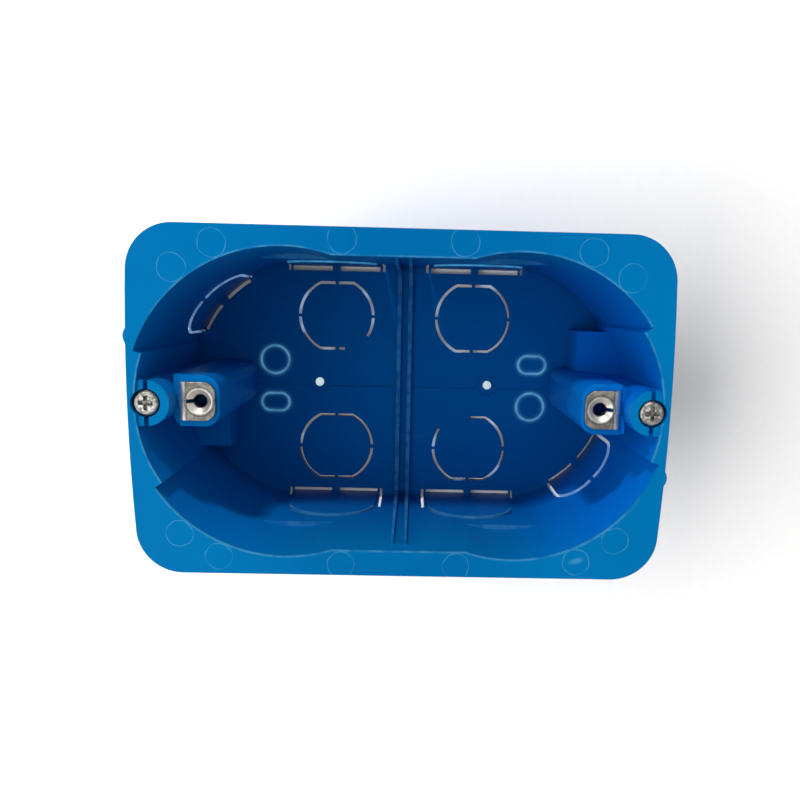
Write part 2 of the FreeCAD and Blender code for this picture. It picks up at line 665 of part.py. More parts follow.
def cut_extra_slit(box):
    """Short flat slit that only the left upper floor knockout has."""
    sketch = box.sketch("extra_slit", "dim.floor_thickness")
    low_y = "dim.floor_knockout_y - dim.floor_knockout_half_height"
    box.rectangle(sketch, "dim.short_flat_start - dim.floor_knockout_x",
                  "dim.short_flat_end - dim.floor_knockout_x", low_y, f"{low_y} + dim.slit")
    box.pocket("extra_slit_cut", sketch, "dim.floor_thickness")


def cut_side_knockouts(box):
    """Arched knockouts in the long wall, with a slit along the edge of the floor."""
    panel_y = "(dim.mouth_half_height - dim.knockout_step)"
    inside_y = f"({panel_y} - dim.edge_slit)"
    panels = add_side_panels(box, panel_y)
    middle = "((dim.edge_slit_start + dim.edge_slit_end) / 2)"
    half_bridge = "(dim.edge_bridge / 2)"
    floor = box.sketch("edge_slits", "dim.floor_thickness")
    for side in (1, -1):
        spans = [
            ("dim.edge_slit_start", f"{middle} - {half_bridge}"),
            (f"{middle} + {half_bridge}", "dim.edge_slit_end"),
        ]
        for low, high in spans:
            box.rectangle(floor, signed(side, low), signed(side, high), inside_y, panel_y)
    along_floor = box.pocket("edge_slit_cut", floor, "dim.floor_thickness")
    wall = box.sketch("side_slits", f"-{inside_y}", role="XZ_Plane")
    half_slit = "(dim.slit / 2)"
    for side in (1, -1):
        for x, top in (("side_inner_x", "side_inner_top"), ("side_outer_x", "side_outer_top")):
            place = f"dim.{x}"
            box.rectangle(wall, signed(side, f"{place} - {half_slit}"),
                          signed(side, f"{place} + {half_slit}"), "-dim.wall", f"dim.{top}")
        gap = "asin(dim.side_bridge / 2 / dim.side_arc_radius)"
        add_arc_slit(box, wall, side, "(1 deg * dim.side_arc_start)", f"(90 deg - {gap})")
        add_arc_slit(box, wall, side, f"(90 deg + {gap})", "(1 deg * dim.side_arc_end)")
    through = box.pocket("side_slit_cut", wall, "(dim.edge_slit + 2 * dim.wall)")
    return [panels, along_floor, through]


def add_side_panels(box, panel_y):
    """Both wall knockouts of one long wall stand a little inward of the wall."""
    panel = box.sketch("side_panels", f"-{panel_y}", role="XZ_Plane")
    radius = "(dim.side_arc_radius - dim.slit)"
    foot = "dim.floor_thickness"
    for side in (1, -1):
        low = signed(side, "dim.side_inner_x + dim.slit / 2")
        high = signed(side, "dim.side_outer_x - dim.slit / 2")
        tops = [
            (signed(side, f"dim.side_knockout_x + {radius} * cos({angle})"),
             f"dim.side_arc_height + {radius} * sin({angle})")
            for angle in ("dim.side_arc_start", "dim.side_arc_end")
        ]
        crown = (signed(side, "dim.side_knockout_x"), f"dim.side_arc_height + {radius}")
        box.loop(panel, [
            (low, foot),
            (high, foot),
            (*tops[0], radius, -side),
            (*crown, radius, -side),
            tops[1],
        ])
    return box.pad("side_panel_pad", panel, "(dim.knockout_step + dim.wall / 2)", reverse=True)


def add_arc_slit(box, sketch, side, start, end):
    """Slit along the arch of a wall knockout, between two angles."""
    outer = "dim.side_arc_radius"
    inner = f"({outer} - dim.slit)"

    def corner(radius, angle, *arc):
        x = signed(side, f"dim.side_knockout_x + {radius} * cos({angle})")
        return (x, f"dim.side_arc_height + {radius} * sin({angle})", *arc)

    box.loop(sketch, [
        corner(outer, start, outer, -side),
        corner(outer, end),
        corner(inner, end, inner, side),
        corner(inner, start),
    ])


def corner_sketch(box, name, distance):
    """Upright sketch across the corner knockout's direction, at a distance from
    the centre of the round end. Its X runs along the wall and its Y upwards."""
    sketch = box.sketch(name, role="XZ_Plane")
    direction = box.number("dim.corner_direction")
    turn = FreeCAD.Rotation(FreeCAD.Vector(0, 1, 0), direction - HALF_TURN / 2)
    sketch.AttachmentOffset = FreeCAD.Placement(FreeCAD.Vector(), turn)
    sketch.setExpression("AttachmentOffset.Base.x",
                         f"dim.round_offset + {distance} * cos(dim.corner_direction)")
    sketch.setExpression("AttachmentOffset.Base.z",
                         f"-{distance} * sin(dim.corner_direction)")
    return sketch


def cut_corner_knockout(box):
    """Knockout in the round wall beside the long side, cut along its own direction."""
    drafted = "tan(dim.round_draft) * (dim.box_depth - dim.corner_top)"
    panel_radius = f"(dim.mouth_radius - {drafted} - dim.knockout_step)"
    start = f"sqrt({panel_radius}^2 - dim.corner_half_width^2)"
    panels = add_corner_panel(box, panel_radius, start)
    floor = box.sketch("corner_edge_slits", "dim.floor_thickness")
    inner = f"({panel_radius} - dim.corner_edge_slit)"
    spans = [
        ("dim.corner_direction - dim.corner_half_angle",
         "dim.corner_direction - dim.corner_bridge_angle"),
        ("dim.corner_direction + dim.corner_bridge_angle",
         "dim.corner_direction + dim.corner_half_angle"),
    ]
    for low, high in spans:
        box.loop(floor, [
            (*around(inner, low), inner, -1),
            around(inner, high),
            (*around(panel_radius, high), panel_radius, 1),
            around(panel_radius, low),
        ])
    along_floor = box.pocket("corner_edge_cut", floor, "dim.floor_thickness")
    wall = corner_sketch(box, "corner_slits", start)
    for side in (1, -1):
        add_corner_slit(box, wall, side)
    through = box.pocket("corner_slit_cut", wall, "(5 * dim.wall)")
    return [*panels, along_floor, through]


def corner_outline(offset, side):
    """Side, rounded corner and top of the corner knockout, inward of its outer edge."""
    radius = f"(dim.corner_round - {offset})"
    centre_x = "(dim.corner_half_width - dim.corner_round)"
    centre_z = "(dim.corner_top - dim.corner_round)"
    return radius, [
        (signed(side, f"dim.corner_half_width - {offset}"), centre_z),
        (signed(side, centre_x), f"dim.corner_top - {offset}"),
    ]


def add_corner_panel(box, panel_radius, start):
    """The knockout stands a little inward of the round wall above it."""
    block = corner_sketch(box, "corner_panel", start)
    radius, right = corner_outline("dim.slit", 1)
    _, left = corner_outline("dim.slit", -1)
    box.loop(block, [
        (left[0][0], "dim.floor_thickness"),
        (right[0][0], "dim.floor_thickness"),
        (*right[0], radius, -1),
        right[1],
        (*left[1], radius, -1),
        left[0],
    ])
    pad = box.pad("corner_panel_pad", block, f"({panel_radius} - {start} + dim.wall / 2)",
                  reverse=True)
    hollow = box.sketch("corner_panel_face", "dim.floor_thickness")
    half_angle = f"(asin(dim.corner_half_width / {panel_radius}) + 1 deg)"
    first = f"(1 deg * dim.corner_direction - {half_angle})"
    last = f"(1 deg * dim.corner_direction + {half_angle})"
    box.loop(hollow, [
        (*around(panel_radius, first), panel_radius, -1),
        around(panel_radius, last),
    ])
    face = box.pocket("corner_panel_face_cut", hollow, "(dim.corner_top - dim.floor_thickness)",
                      reverse=True)
    return [pad, face]


def add_corner_slit(box, sketch, side):
    """Half of the slit around the corner knockout, from the back to the top bridge."""
    half_bridge = signed(side, "dim.side_bridge / 2")
    outer_radius, outer = corner_outline("0", side)
    inner_radius, inner = corner_outline("dim.slit", side)
    box.loop(sketch, [
        (outer[0][0], "-dim.wall"),
        (*outer[0], outer_radius, -side),
        outer[1],
        (half_bridge, "dim.corner_top"),
        (half_bridge, "dim.corner_top - dim.slit"),
        (*inner[1], inner_radius, side),
        inner[0],
        (inner[0][0], "-dim.wall"),
    ])


def add_flange_nub(box):
    """Small rounded moulding nub on the short edge of the flange."""
    nub = box.sketch("nub", FLANGE_BACK)
    root = "(dim.flange_half_length - 2 * dim.flange_end_bow)"
    height = f"(dim.flange_half_length + dim.nub_proud - {root})"
    radius = f"((dim.nub_half_width^2 + {height}^2) / (2 * {height}))"
    box.loop(nub, [
        (root, "dim.nub_y - dim.nub_half_width", radius, -1),
        (root, "dim.nub_y + dim.nub_half_width"),
    ])
    return box.pad("nub_pad", nub, "dim.flange_thickness")


def build_box(doc):
    """The moulded box: one piece with its flange, posts, pockets and knockouts."""
    box = PieceBuilder(doc, "back_box")
    add_outer_form(box)
    add_flange_plate(box)
    add_cavity(box)
    add_ends(box)
    trim_ends(box)
    add_divider_ribs(box)
    add_floor_marks(box)
    halves = cut_floor_knockouts(box)
    halves.extend(cut_side_knockouts(box))
    halves.extend(cut_corner_knockout(box))
    halves.append(add_flange_nub(box))
    box.turned("halves", halves)
    cut_extra_slit(box)
    return box.body


def build_insert(doc, side, turn):
    """Folded sheet insert with a dished, slit and collared hole."""
    insert = PieceBuilder(doc, f"fixing_insert_{side}", turn)
    plate = insert.sketch("plate", POST_TOP)
    straight_x = "dim.insert_inner_x + dim.insert_corner"
    straight_y = "(dim.insert_half_width - dim.insert_corner)"
    insert.loop(plate, [
        ("dim.insert_outer_x", "-dim.insert_half_width"),
        ("dim.insert_outer_x", "dim.insert_half_width"),
        (straight_x, "dim.insert_half_width", "dim.insert_corner", -1),
        ("dim.insert_inner_x", straight_y),
        ("dim.insert_inner_x", f"-{straight_y}", "dim.insert_corner", -1),
        (straight_x, "-dim.insert_half_width"),
    ])
    insert.pad("plate_pad", plate, "dim.insert_sheet")
    leg = insert.sketch("leg", INSERT_TOP)
    insert.rectangle(leg, "dim.insert_outer_x - dim.insert_sheet", "dim.insert_outer_x",
                     "-dim.insert_half_width", "dim.insert_half_width")
    insert.pad("leg_pad", leg, "(dim.insert_leg + dim.insert_sheet)", reverse=True)
    collar = insert.sketch("collar", f"{POST_TOP} + dim.insert_sheet / 2")
    insert.circle(collar, "dim.hole_x", "0", "dim.collar_radius")
    insert.pad("collar_pad", collar, "(dim.insert_sheet / 2 + dim.collar_length)", reverse=True)
    hole = insert.sketch("hole", INSERT_TOP)
    insert.circle(hole, "dim.hole_x", "0", "dim.hole_radius")
    insert.pocket("hole_cut", hole, "(dim.insert_sheet + dim.collar_length)")
    slit = insert.sketch("slit", INSERT_TOP)
    insert.rectangle(slit, "dim.hole_x", "dim.hole_x + dim.insert_slit_reach",
                     "-dim.insert_slit / 2", "dim.insert_slit / 2")
    insert.pocket("slit_cut", slit, "(dim.insert_sheet + dim.collar_length)")
    top = insert.number(INSERT_TOP)
    outer_x = insert.number("dim.insert_outer_x")
    hole_x = insert.number("dim.hole_x")

    def is_fold(edge):
        place = edge.BoundBox
        return place.ZMin > top - CLOSE and place.XMin > outer_x - CLOSE

    def is_hole_rim(edge):
        round_edge = edge.Curve.TypeId == "Part::GeomCircle"
        return round_edge and edge.BoundBox.ZMin > top - CLOSE and (
            abs(edge.Curve.Center.x - hole_x) < CLOSE
        )

    insert.edge_feature("Fillet", "fold", "Radius", "dim.insert_bend", is_fold)
    insert.edge_feature("Chamfer", "dish", "Size", "dim.dish_depth", is_hole_rim)
    return insert.body


def build_screw(doc, side, turn):
    """Claw screw: pan head with a cross recess, and a plain shank for the thread."""
    screw = PieceBuilder(doc, f"claw_screw_{side}", turn)
    shank = screw.sketch("shank", "dim.screw_end")
    screw.circle(shank, "dim.screw_x", "0", "dim.screw_radius")
    screw.pad("shank_pad", shank, f"({HEAD_TOP} - dim.screw_end - dim.head_height / 2)")
    head = screw.sketch("head", HEAD_SEAT)
    screw.circle(head, "dim.screw_x", "0", "dim.head_radius")
    screw.pad("head_pad", head, "dim.head_height")
    top = screw.number(HEAD_TOP)
    end = screw.number("dim.screw_end")
    screw.edge_feature("Chamfer", "head_rim", "Size", "dim.head_bevel",
                       lambda edge: edge.BoundBox.ZMin > top - CLOSE)
    screw.edge_feature("Chamfer", "point", "Size", "dim.screw_point",
                       lambda edge: edge.BoundBox.ZMax < end + CLOSE)
    cross = screw.sketch("drive", HEAD_TOP)
    half_length, half_width = "(dim.drive_length / 2)", "(dim.drive_width / 2)"
    low_x, high_x = f"dim.screw_x - {half_length}", f"dim.screw_x + {half_length}"
    near_x, far_x = f"dim.screw_x - {half_width}", f"dim.screw_x + {half_width}"
    screw.loop(cross, [
        (low_x, f"-{half_width}"), (near_x, f"-{half_width}"), (near_x, f"-{half_length}"),
        (far_x, f"-{half_length}"), (far_x, f"-{half_width}"), (high_x, f"-{half_width}"),
        (high_x, half_width), (far_x, half_width), (far_x, half_length),
        (near_x, half_length), (near_x, half_width), (low_x, half_width),
    ])
    screw.pocket("drive_cut", cross, "dim.drive_depth")
    return screw.body


def build_claw(doc, side, turn):
    """Sheet claw rolled around the screw, with a curved arm that ends in teeth."""
    claw = PieceBuilder(doc, f"claw_{side}", turn)
    eye_inner = "(dim.screw_radius + dim.claw_fit)"
    eye_outer = f"({eye_inner} + dim.claw_sheet)"
    eye = claw.sketch("eye", "dim.claw_bottom")
    claw.circle(eye, "dim.screw_x", "0", eye_outer)
    claw.pad("eye_pad", eye, "dim.claw_height")
    arm = claw.sketch("arm", "dim.claw_bottom")
    inner = f"({RECESS_OUTER_RADIUS} + dim.claw_gap)"
    outer = f"({inner} + dim.claw_sheet)"
    claw.loop(arm, [
        (*around(inner, "dim.claw_root_angle"), inner, -1),
        around(inner, "dim.claw_tip_angle"),
        (*around(outer, "dim.claw_tip_angle"), outer, 1),
        around(outer, "dim.claw_root_outer_angle"),
        ("dim.screw_x + dim.claw_root_far", "dim.claw_root_near"),
        ("dim.screw_x + dim.claw_root_near", "dim.claw_root_far"),
    ])
    claw.pad("arm_pad", arm, "dim.claw_height")
    bore = claw.sketch("bore", "dim.claw_bottom")
    claw.circle(bore, "dim.screw_x", "0", eye_inner)
    claw.pocket("bore_cut", bore, "dim.claw_height", reverse=True)
    add_claw_teeth(claw, inner, outer)
    return claw.body


def add_claw_teeth(claw, inner, outer):
    """Notch between the claw's two teeth, and the arm's lower edge in front of them."""
    top = "(dim.claw_bottom + dim.claw_height)"
    low = f"(dim.round_offset + {inner} * cos(dim.claw_tip_angle) - dim.claw_sheet)"
    high = f"(dim.round_offset + {outer})"
    arm_start = f"({inner} * sin(dim.claw_root_angle) + dim.claw_sheet)"
    arm_end = f"({inner} * sin(dim.claw_tip_angle))"
    tooth = "dim.claw_tooth_width"
    notch = claw.sketch("notch", low, role="YZ_Plane")
    claw.loop(notch, [
        (arm_start, f"{top} + dim.claw_sheet"),
        (arm_start, f"{top} - dim.claw_arm_drop"),
        (f"{arm_end} - 2 * {tooth}", f"{top} - dim.claw_arm_drop"),
        (f"{arm_end} - 3 * {tooth} / 2", top),
        (f"{arm_end} - {tooth}", f"{top} - dim.claw_tooth"),
        (f"{arm_end} - {tooth} / 2", f"{top} - dim.claw_tooth"),
        (f"{arm_end}", top),
        (f"{arm_end}", f"{top} + dim.claw_sheet"),
    ])
    claw.pocket("notch_cut", notch, f"({high} - {low})", reverse=True)


def check_document(doc, pieces):
    """Stop on any failed object or bad shape."""
    for item in doc.Objects:
        if "Invalid" in item.State or "Error" in item.State:
            raise ValueError(f"{item.Name} failed: {item.State}")
    for piece in pieces:
        if piece.Shape.isNull() or not piece.Shape.isValid():
            raise ValueError(f"{piece.Label} has no valid shape")
        if len(piece.Shape.Solids) != 1:
            raise ValueError(f"{piece.Label} has {len(piece.Shape.Solids)} solids")


def main():
    """Build every piece and write one file for each."""
    doc = FreeCAD.newDocument(DOCUMENT_NAME)
    fill_sheet(doc)
    pieces = [build_box(doc)]
    for side, turn in (("right", 0.0), ("left", HALF_TURN)):
        for build in (build_insert, build_screw, build_claw):
            pieces.append(build(doc, side, turn))
    doc.recompute()
    check_document(doc, pieces)
    os.makedirs("parts", exist_ok=True)
    for piece in pieces:
        piece.Shape.exportStep(f"parts/{piece.Label}.step")


main()
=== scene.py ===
"""Looks of the flush back box: moulded blue plastic, zinc inserts, claws and screws."""

import logging
import math
from dataclasses import dataclass, field
from enum import Enum

import bmesh
import bpy
from mathutils import Matrix, Vector


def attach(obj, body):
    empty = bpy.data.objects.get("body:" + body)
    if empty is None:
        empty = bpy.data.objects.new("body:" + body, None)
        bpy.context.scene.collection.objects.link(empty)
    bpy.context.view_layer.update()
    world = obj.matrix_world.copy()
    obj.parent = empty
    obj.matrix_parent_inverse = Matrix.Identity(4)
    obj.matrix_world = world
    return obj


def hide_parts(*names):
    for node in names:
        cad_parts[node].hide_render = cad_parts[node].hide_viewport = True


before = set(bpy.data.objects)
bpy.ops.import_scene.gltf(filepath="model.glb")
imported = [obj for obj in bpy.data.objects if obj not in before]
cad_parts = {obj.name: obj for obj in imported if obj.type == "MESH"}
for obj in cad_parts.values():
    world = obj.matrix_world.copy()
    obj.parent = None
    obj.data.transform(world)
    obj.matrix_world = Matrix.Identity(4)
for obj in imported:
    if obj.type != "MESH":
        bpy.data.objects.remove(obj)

MM = 0.001
LOG = logging.getLogger("back_box_looks")


class Side(Enum):
    """The two ends of the box. The left end is the right one turned by half a turn."""

    RIGHT = "right"
    LEFT = "left"

    @property
    def sign(self) -> int:
        """Sign of X at this end."""
        return 1 if self is Side.RIGHT else -1


class Shader:
    """One material's nodes, made by a single method."""

    def __init__(self, name: str) -> None:
        """Start an empty material with a Principled shader.

        Args:
            name: Name of the material.
        """
        self.material = bpy.data.materials.new(name)
        self.material.use_nodes = True
        self.tree = self.material.node_tree
        self.tree.nodes.clear()
        self.output = self.tree.nodes.new("ShaderNodeOutputMaterial")
        self.surface = self.tree.nodes.new("ShaderNodeBsdfPrincipled")
        self.tree.links.new(self.surface.outputs[0], self.output.inputs["Surface"])

    def node(self, kind: str, settings: dict | None = None,
             inputs: dict | None = None) -> bpy.types.Node:
        """Add a node.

        Args:
            kind: Node type without its ShaderNode prefix.
            settings: Properties that are set first.
            inputs: Values or Signals by socket name or number.

        Returns:
            The new node.
        """
        node = self.tree.nodes.new(f"ShaderNode{kind}")
        for key, value in (settings or {}).items():
            setattr(node, key, value)
        for key, value in (inputs or {}).items():
            self.feed(node.inputs[key], value)
        return node

    def feed(self, socket: bpy.types.NodeSocket, value: "Signal | float | tuple") -> None:
        """Set a socket to a value or link a signal to it.

        Args:
            socket: The input socket.
            value: A number, colour, vector or Signal.
        """
        if isinstance(value, Signal):
            self.tree.links.new(value.socket, socket)
        else:
            socket.default_value = value

    def dress(self, values: dict) -> None:
        """Feed the Principled shader's sockets.

        Args:
            values: Values or Signals by socket name.
        """
        for name, value in values.items():
            self.feed(self.surface.inputs[name], value)

    def noise(self, vector: "Signal", scale: float, detail: float,
              stretch: tuple) -> "Signal":
        """Noise between 0 and 1.

        Args:
            vector: Where it is read.
            scale: Features per metre.
            detail: Octaves.
            stretch: Scale along each axis.

        Returns:
            The noise value.
        """
        mapped = self.node("Mapping", inputs={"Vector": vector, "Scale": stretch})
        node = self.node("TexNoise", inputs={
            "Vector": Signal(self, mapped.outputs[0]), "Scale": scale, "Detail": detail})
        return Signal(self, node.outputs[0])

    def blend(self, factor: "Signal", first: "Signal | tuple",
              second: "Signal | tuple") -> "Signal":
        """Mix two colours.

        Args:
            factor: 0 gives the first colour, 1 the second.
            first: Colour or Signal.
            second: Colour or Signal.

        Returns:
            The mixed colour.
        """
        node = self.node("Mix", {"data_type": "RGBA"}, {0: factor, 6: first, 7: second})
        return Signal(self, node.outputs[2])

    def bump(self, height: "Signal", strength: float, distance: float) -> "Signal":
        """Normal from a height.

        Args:
            height: The height.
            strength: Strength of the bump.
            distance: Height of a full step in metres.

        Returns:
            The normal.
        """
        node = self.node("Bump", inputs={
            "Strength": strength, "Distance": distance, "Height": height})
        return Signal(self, node.outputs[0])


class Signal:
    """A socket that takes part in Python expressions."""

    def __init__(self, shader: Shader, socket: bpy.types.NodeSocket) -> None:
        """Wrap a socket.

        Args:
            shader: The shader that the socket belongs to.
            socket: The output socket.
        """
        self.shader = shader
        self.socket = socket

    def maths(self, operation: str, *others: "Signal | float") -> "Signal":
        """Math node on this value.

        Args:
            operation: Operation of the Math node.
            others: Further operands, numbers or Signals.

        Returns:
            The result.
        """
        inputs = dict(enumerate((self, *others)))
        node = self.shader.node("Math", {"operation": operation}, inputs)
        return Signal(self.shader, node.outputs[0])

    def __add__(self, other: "Signal | float") -> "Signal":
        """Sum."""
        return self.maths("ADD", other)

    __radd__ = __add__

    def __sub__(self, other: "Signal | float") -> "Signal":
        """Difference."""
        return self.maths("SUBTRACT", other)

    def __rsub__(self, other: float) -> "Signal":
        """Difference from a number."""
        node = self.shader.node("Math", {"operation": "SUBTRACT"}, {0: other, 1: self})
        return Signal(self.shader, node.outputs[0])

    def __mul__(self, other: "Signal | float") -> "Signal":
        """Product."""
        return self.maths("MULTIPLY", other)

    __rmul__ = __mul__

    def __truediv__(self, other: "Signal | float") -> "Signal":
        """Quotient."""
        return self.maths("DIVIDE", other)

    def __abs__(self) -> "Signal":
        """Absolute value."""
        return self.maths("ABSOLUTE")

    def at_least(self, other: "Signal | float") -> "Signal":
        """Larger of two values."""
        return self.maths("MAXIMUM", other)

    def at_most(self, other: "Signal | float") -> "Signal":
        """Smaller of two values."""
        return self.maths("MINIMUM", other)

    def above(self, limit: float) -> "Signal":
        """1 where the value is above a limit, else 0."""
        return self.maths("GREATER_THAN", limit)

    def below(self, limit: float) -> "Signal":
        """0 where the value is above a limit, else 1."""
        return 1.0 - self.above(limit)

    def between(self, low: float, high: float) -> "Signal":
        """1 between two limits, else 0."""
        return self.above(low) * self.below(high)

    def fade(self, start: float, end: float) -> "Signal":
        """Smooth step from 0 at start to 1 at end.

        Args:
            start: Value that gives 0.
            end: Value that gives 1.

        Returns:
            The step.
        """
        node = self.shader.node("MapRange", {"interpolation_type": "SMOOTHSTEP"}, {
            "Value": self, "From Min": start, "From Max": end})
        return Signal(self.shader, node.outputs[0])

    def near(self, value: float, soft: tuple) -> "Signal":
        """1 near a value, falling to 0 between the two distances of soft."""
        return 1.0 - abs(self - value).fade(*soft)

    def scaled(self, varying: float, steady: float) -> "Signal":
        """This value times varying, plus steady."""
        return self * varying + steady


def length_of(first: Signal, second: Signal) -> Signal:
    """Length of a flat vector given by two signals."""
    return (first * first + second * second).maths("SQRT")


@dataclass(frozen=True)
class Spot:
    """Where a finish is read, in millimetres. along and across turn with the end."""

    shader: Shader
    place: Signal
    x: Signal
    y: Signal
    z: Signal
    along: Signal
    across: Signal

    @classmethod
    def of(cls, shader: Shader) -> "Spot":
        """Spot on Object coordinates.

        Args:
            shader: The finish's shader.

        Returns:
            The spot.
        """
        place = Signal(shader, shader.node("TexCoord").outputs["Object"])
        parts = shader.node("SeparateXYZ", inputs={0: place}).outputs
        x, y, z = (Signal(shader, part) / MM for part in parts)
        side = x.maths("SIGN")
        return cls(shader, place, x, y, z, x * side, y * side)

    def noise(self, scale: float, detail: float = 3.0,
              stretch: tuple = (1.0, 1.0, 1.0)) -> Signal:
        """Noise between 0 and 1 at this spot."""
        return self.shader.noise(self.place, scale, detail, stretch)


@dataclass(frozen=True)
class MarkOrHighlight:
    """Mark on the moulding or a painted highlight, in millimetres, with a varying and a steady
    share of its strength.
    """

    unevenness: tuple = (0.0, 1.0)

    def mask(self, spot: Spot) -> Signal:
        """1 on the mark and 0 beside it.

        Args:
            spot: Where it is read.

        Returns:
            The mask.
        """
        raise NotImplementedError

    def patchy(self, mask: Signal, uneven: Signal) -> Signal:
        """The mask, made uneven by its varying and steady share."""
        return mask * uneven.scaled(*self.unevenness)


@dataclass(frozen=True)
class CornerSlit(MarkOrHighlight):
    """Pale line along the slit around the corner knockout: stress whitening, and painted light
    seen through the slit.
    """

    unevenness: tuple = (0.4, 0.6)
    centre_x: float = 23.75
    degrees: float = -41.6
    half_width: float = 9.34
    top: float = 20.14
    rounding: float = 7.64
    bridge: float = 0.6
    wall: tuple = (27.0, 31.9)
    foot: float = 3.0
    soft: tuple = (0.22, 0.5)

    def mask(self, spot: Spot) -> Signal:
        """1 on the slit, and 0 on its bridge and beside it.

        Args:
            spot: Where it is read.

        Returns:
            The mask.
        """
        angle = math.radians(self.degrees)
        out = spot.along - self.centre_x
        beside = abs(spot.across * math.cos(angle) - out * math.sin(angle))
        outwards = out * math.cos(angle) + spot.across * math.sin(angle)
        side = (beside - (self.half_width - self.rounding)).at_least(0.0)
        rise = (spot.z - (self.top - self.rounding)).at_least(0.0)
        line = length_of(side, rise).near(self.rounding, self.soft)
        inside = outwards.between(*self.wall)
        return line * inside * beside.above(self.bridge) * spot.z.above(self.foot)


@dataclass(frozen=True)
class ArchLine(MarkOrHighlight):
    """Painted highlight along the rounded top edge of the wall knockouts."""

    unevenness: tuple = (0.168, 0.252)
    centre_x: float = 17.5
    centre_z: float = 13.0
    radius: float = 10.66
    slit_radius: float = 11.3
    wall: tuple = (28.5, 30.7)
    foot: float = 14.8
    edge_soft: tuple = (0.22, 0.42)
    bridge_soft: tuple = (0.5, 0.8)
    slit_soft: tuple = (0.3, 0.7)

    def mask(self, spot: Spot) -> Signal:
        """1 on the painted highlight along the edge and on the bridge at its top.

        Args:
            spot: Where it is read.

        Returns:
            The mask.
        """
        rise = (spot.z - self.centre_z).at_least(0.0)
        distance = length_of(abs(spot.x) - self.centre_x, rise)
        edge = distance.near(self.radius, self.edge_soft)
        bridge = abs(spot.x).near(self.centre_x, self.bridge_soft)
        bridge = bridge * distance.near(self.slit_radius, self.slit_soft)
        inside = abs(spot.y).between(*self.wall)
        return edge.at_least(bridge) * inside * spot.z.above(self.foot)


@dataclass(frozen=True)
class MouthEdge(MarkOrHighlight):
    """Painted highlight along the edge of the mouth on the flange's front."""

    unevenness: tuple = (0.35, 0.06)
    centre_x: float = 23.75
    radius: float = 31.5
    half_height: float = 30.0
    end_x: float = 26.2
    recess_radius: float = 29.75
    recess_x: float = 24.8
    front: float = 49.55
    soft: tuple = (0.1, 0.5)

    def mask(self, spot: Spot) -> Signal:
        """1 on the painted highlight along the mouth's edge and along that of the pushed-in
        walls.

        Args:
            spot: Where it is read.

        Returns:
            The mask.
        """
        from_end = abs(spot.x) - self.centre_x
        circle = length_of(from_end, spot.y) - self.radius
        strip = (abs(spot.y) - self.half_height).at_least(from_end)
        line = circle.at_most(strip).near(0.0, self.soft) * from_end.below(self.end_x)
        recess = circle.near(self.recess_radius - self.radius, self.soft)
        recess = recess * from_end.above(self.recess_x)
        return line.at_least(recess) * spot.z.above(self.front)


@dataclass(frozen=True)
class LedgeEdge(MarkOrHighlight):
    """Painted highlight on the crescent ledges inside the mouth."""

    unevenness: tuple = (0.2, 0.08)
    height: float = 29.0
    half_length: float = 33.5
    wall: tuple = (30.1, 31.4)
    soft: tuple = (0.05, 0.3)

    def mask(self, spot: Spot) -> Signal:
        """1 on the ledges' painted highlight."""
        level = spot.z.near(self.height, self.soft)
        return level * abs(spot.y).between(*self.wall) * abs(spot.x).below(self.half_length)


@dataclass(frozen=True)
class RibEdges(MarkOrHighlight):
    """Painted highlight on the narrow faces of the two divider ribs."""

    unevenness: tuple = (0.2, 0.1)
    half_width: float = 2.1
    floor_rib: float = 3.2
    floor_soft: tuple = (0.08, 0.25)
    wall_rib: float = 28.5
    wall_soft: tuple = (0.1, 0.35)
    wall_foot: float = 3.0
    inside_y: float = 29.4

    def mask(self, spot: Spot) -> Signal:
        """1 on the ribs' narrow faces, where the highlight is painted.

        Args:
            spot: Where it is read.

        Returns:
            The mask.
        """
        floor = spot.z.near(self.floor_rib, self.floor_soft)
        wall = abs(spot.y).near(self.wall_rib, self.wall_soft) * spot.z.above(self.wall_foot)
        inside = abs(spot.x).below(self.half_width) * abs(spot.y).below(self.inside_y)
        return floor.at_least(wall) * inside


@dataclass(frozen=True)
class DiscSlit(MarkOrHighlight):
    """Patchy light on the walls of the floor knockouts' round slits."""

    unevenness: tuple = (0.0, 0.7)
    centre: tuple = (17.55, 17.1)
    radius: float = 9.38
    top: float = 1.9
    soft: tuple = (0.45, 0.6)
    patch_scale: float = 160.0
    patch_fade: tuple = (0.55, 0.66)

    def mask(self, spot: Spot) -> Signal:
        """1 on the lit patches of the walls inside the slits.

        Args:
            spot: Where it is read.

        Returns:
            The mask.
        """
        patches = spot.noise(self.patch_scale, 1.0).fade(*self.patch_fade)
        centre_x, centre_y = self.centre
        distance = length_of(abs(spot.x) - centre_x, abs(spot.y) - centre_y)
        return distance.near(self.radius, self.soft) * spot.z.below(self.top) * patches


@dataclass(frozen=True)
class Sheen(MarkOrHighlight):
    """Soft patch of light inside one of the flange's rings."""

    unevenness: tuple = (0.0, 0.4)
    centre: tuple = (37.5, -31.5)
    degrees: float = 14.0
    radii: tuple = (2.0, 0.8)
    front: float = 49.5
    soft: tuple = (0.2, 1.1)

    def mask(self, spot: Spot) -> Signal:
        """1 in the middle of the patch.

        Args:
            spot: Where it is read.

        Returns:
            The mask.
        """
        angle = math.radians(self.degrees)
        right, up = spot.x - self.centre[0], spot.y - self.centre[1]
        long = (right * math.cos(angle) + up * math.sin(angle)) / self.radii[0]
        short = (up * math.cos(angle) - right * math.sin(angle)) / self.radii[1]
        return (1.0 - length_of(long, short).fade(*self.soft)) * spot.z.above(self.front)


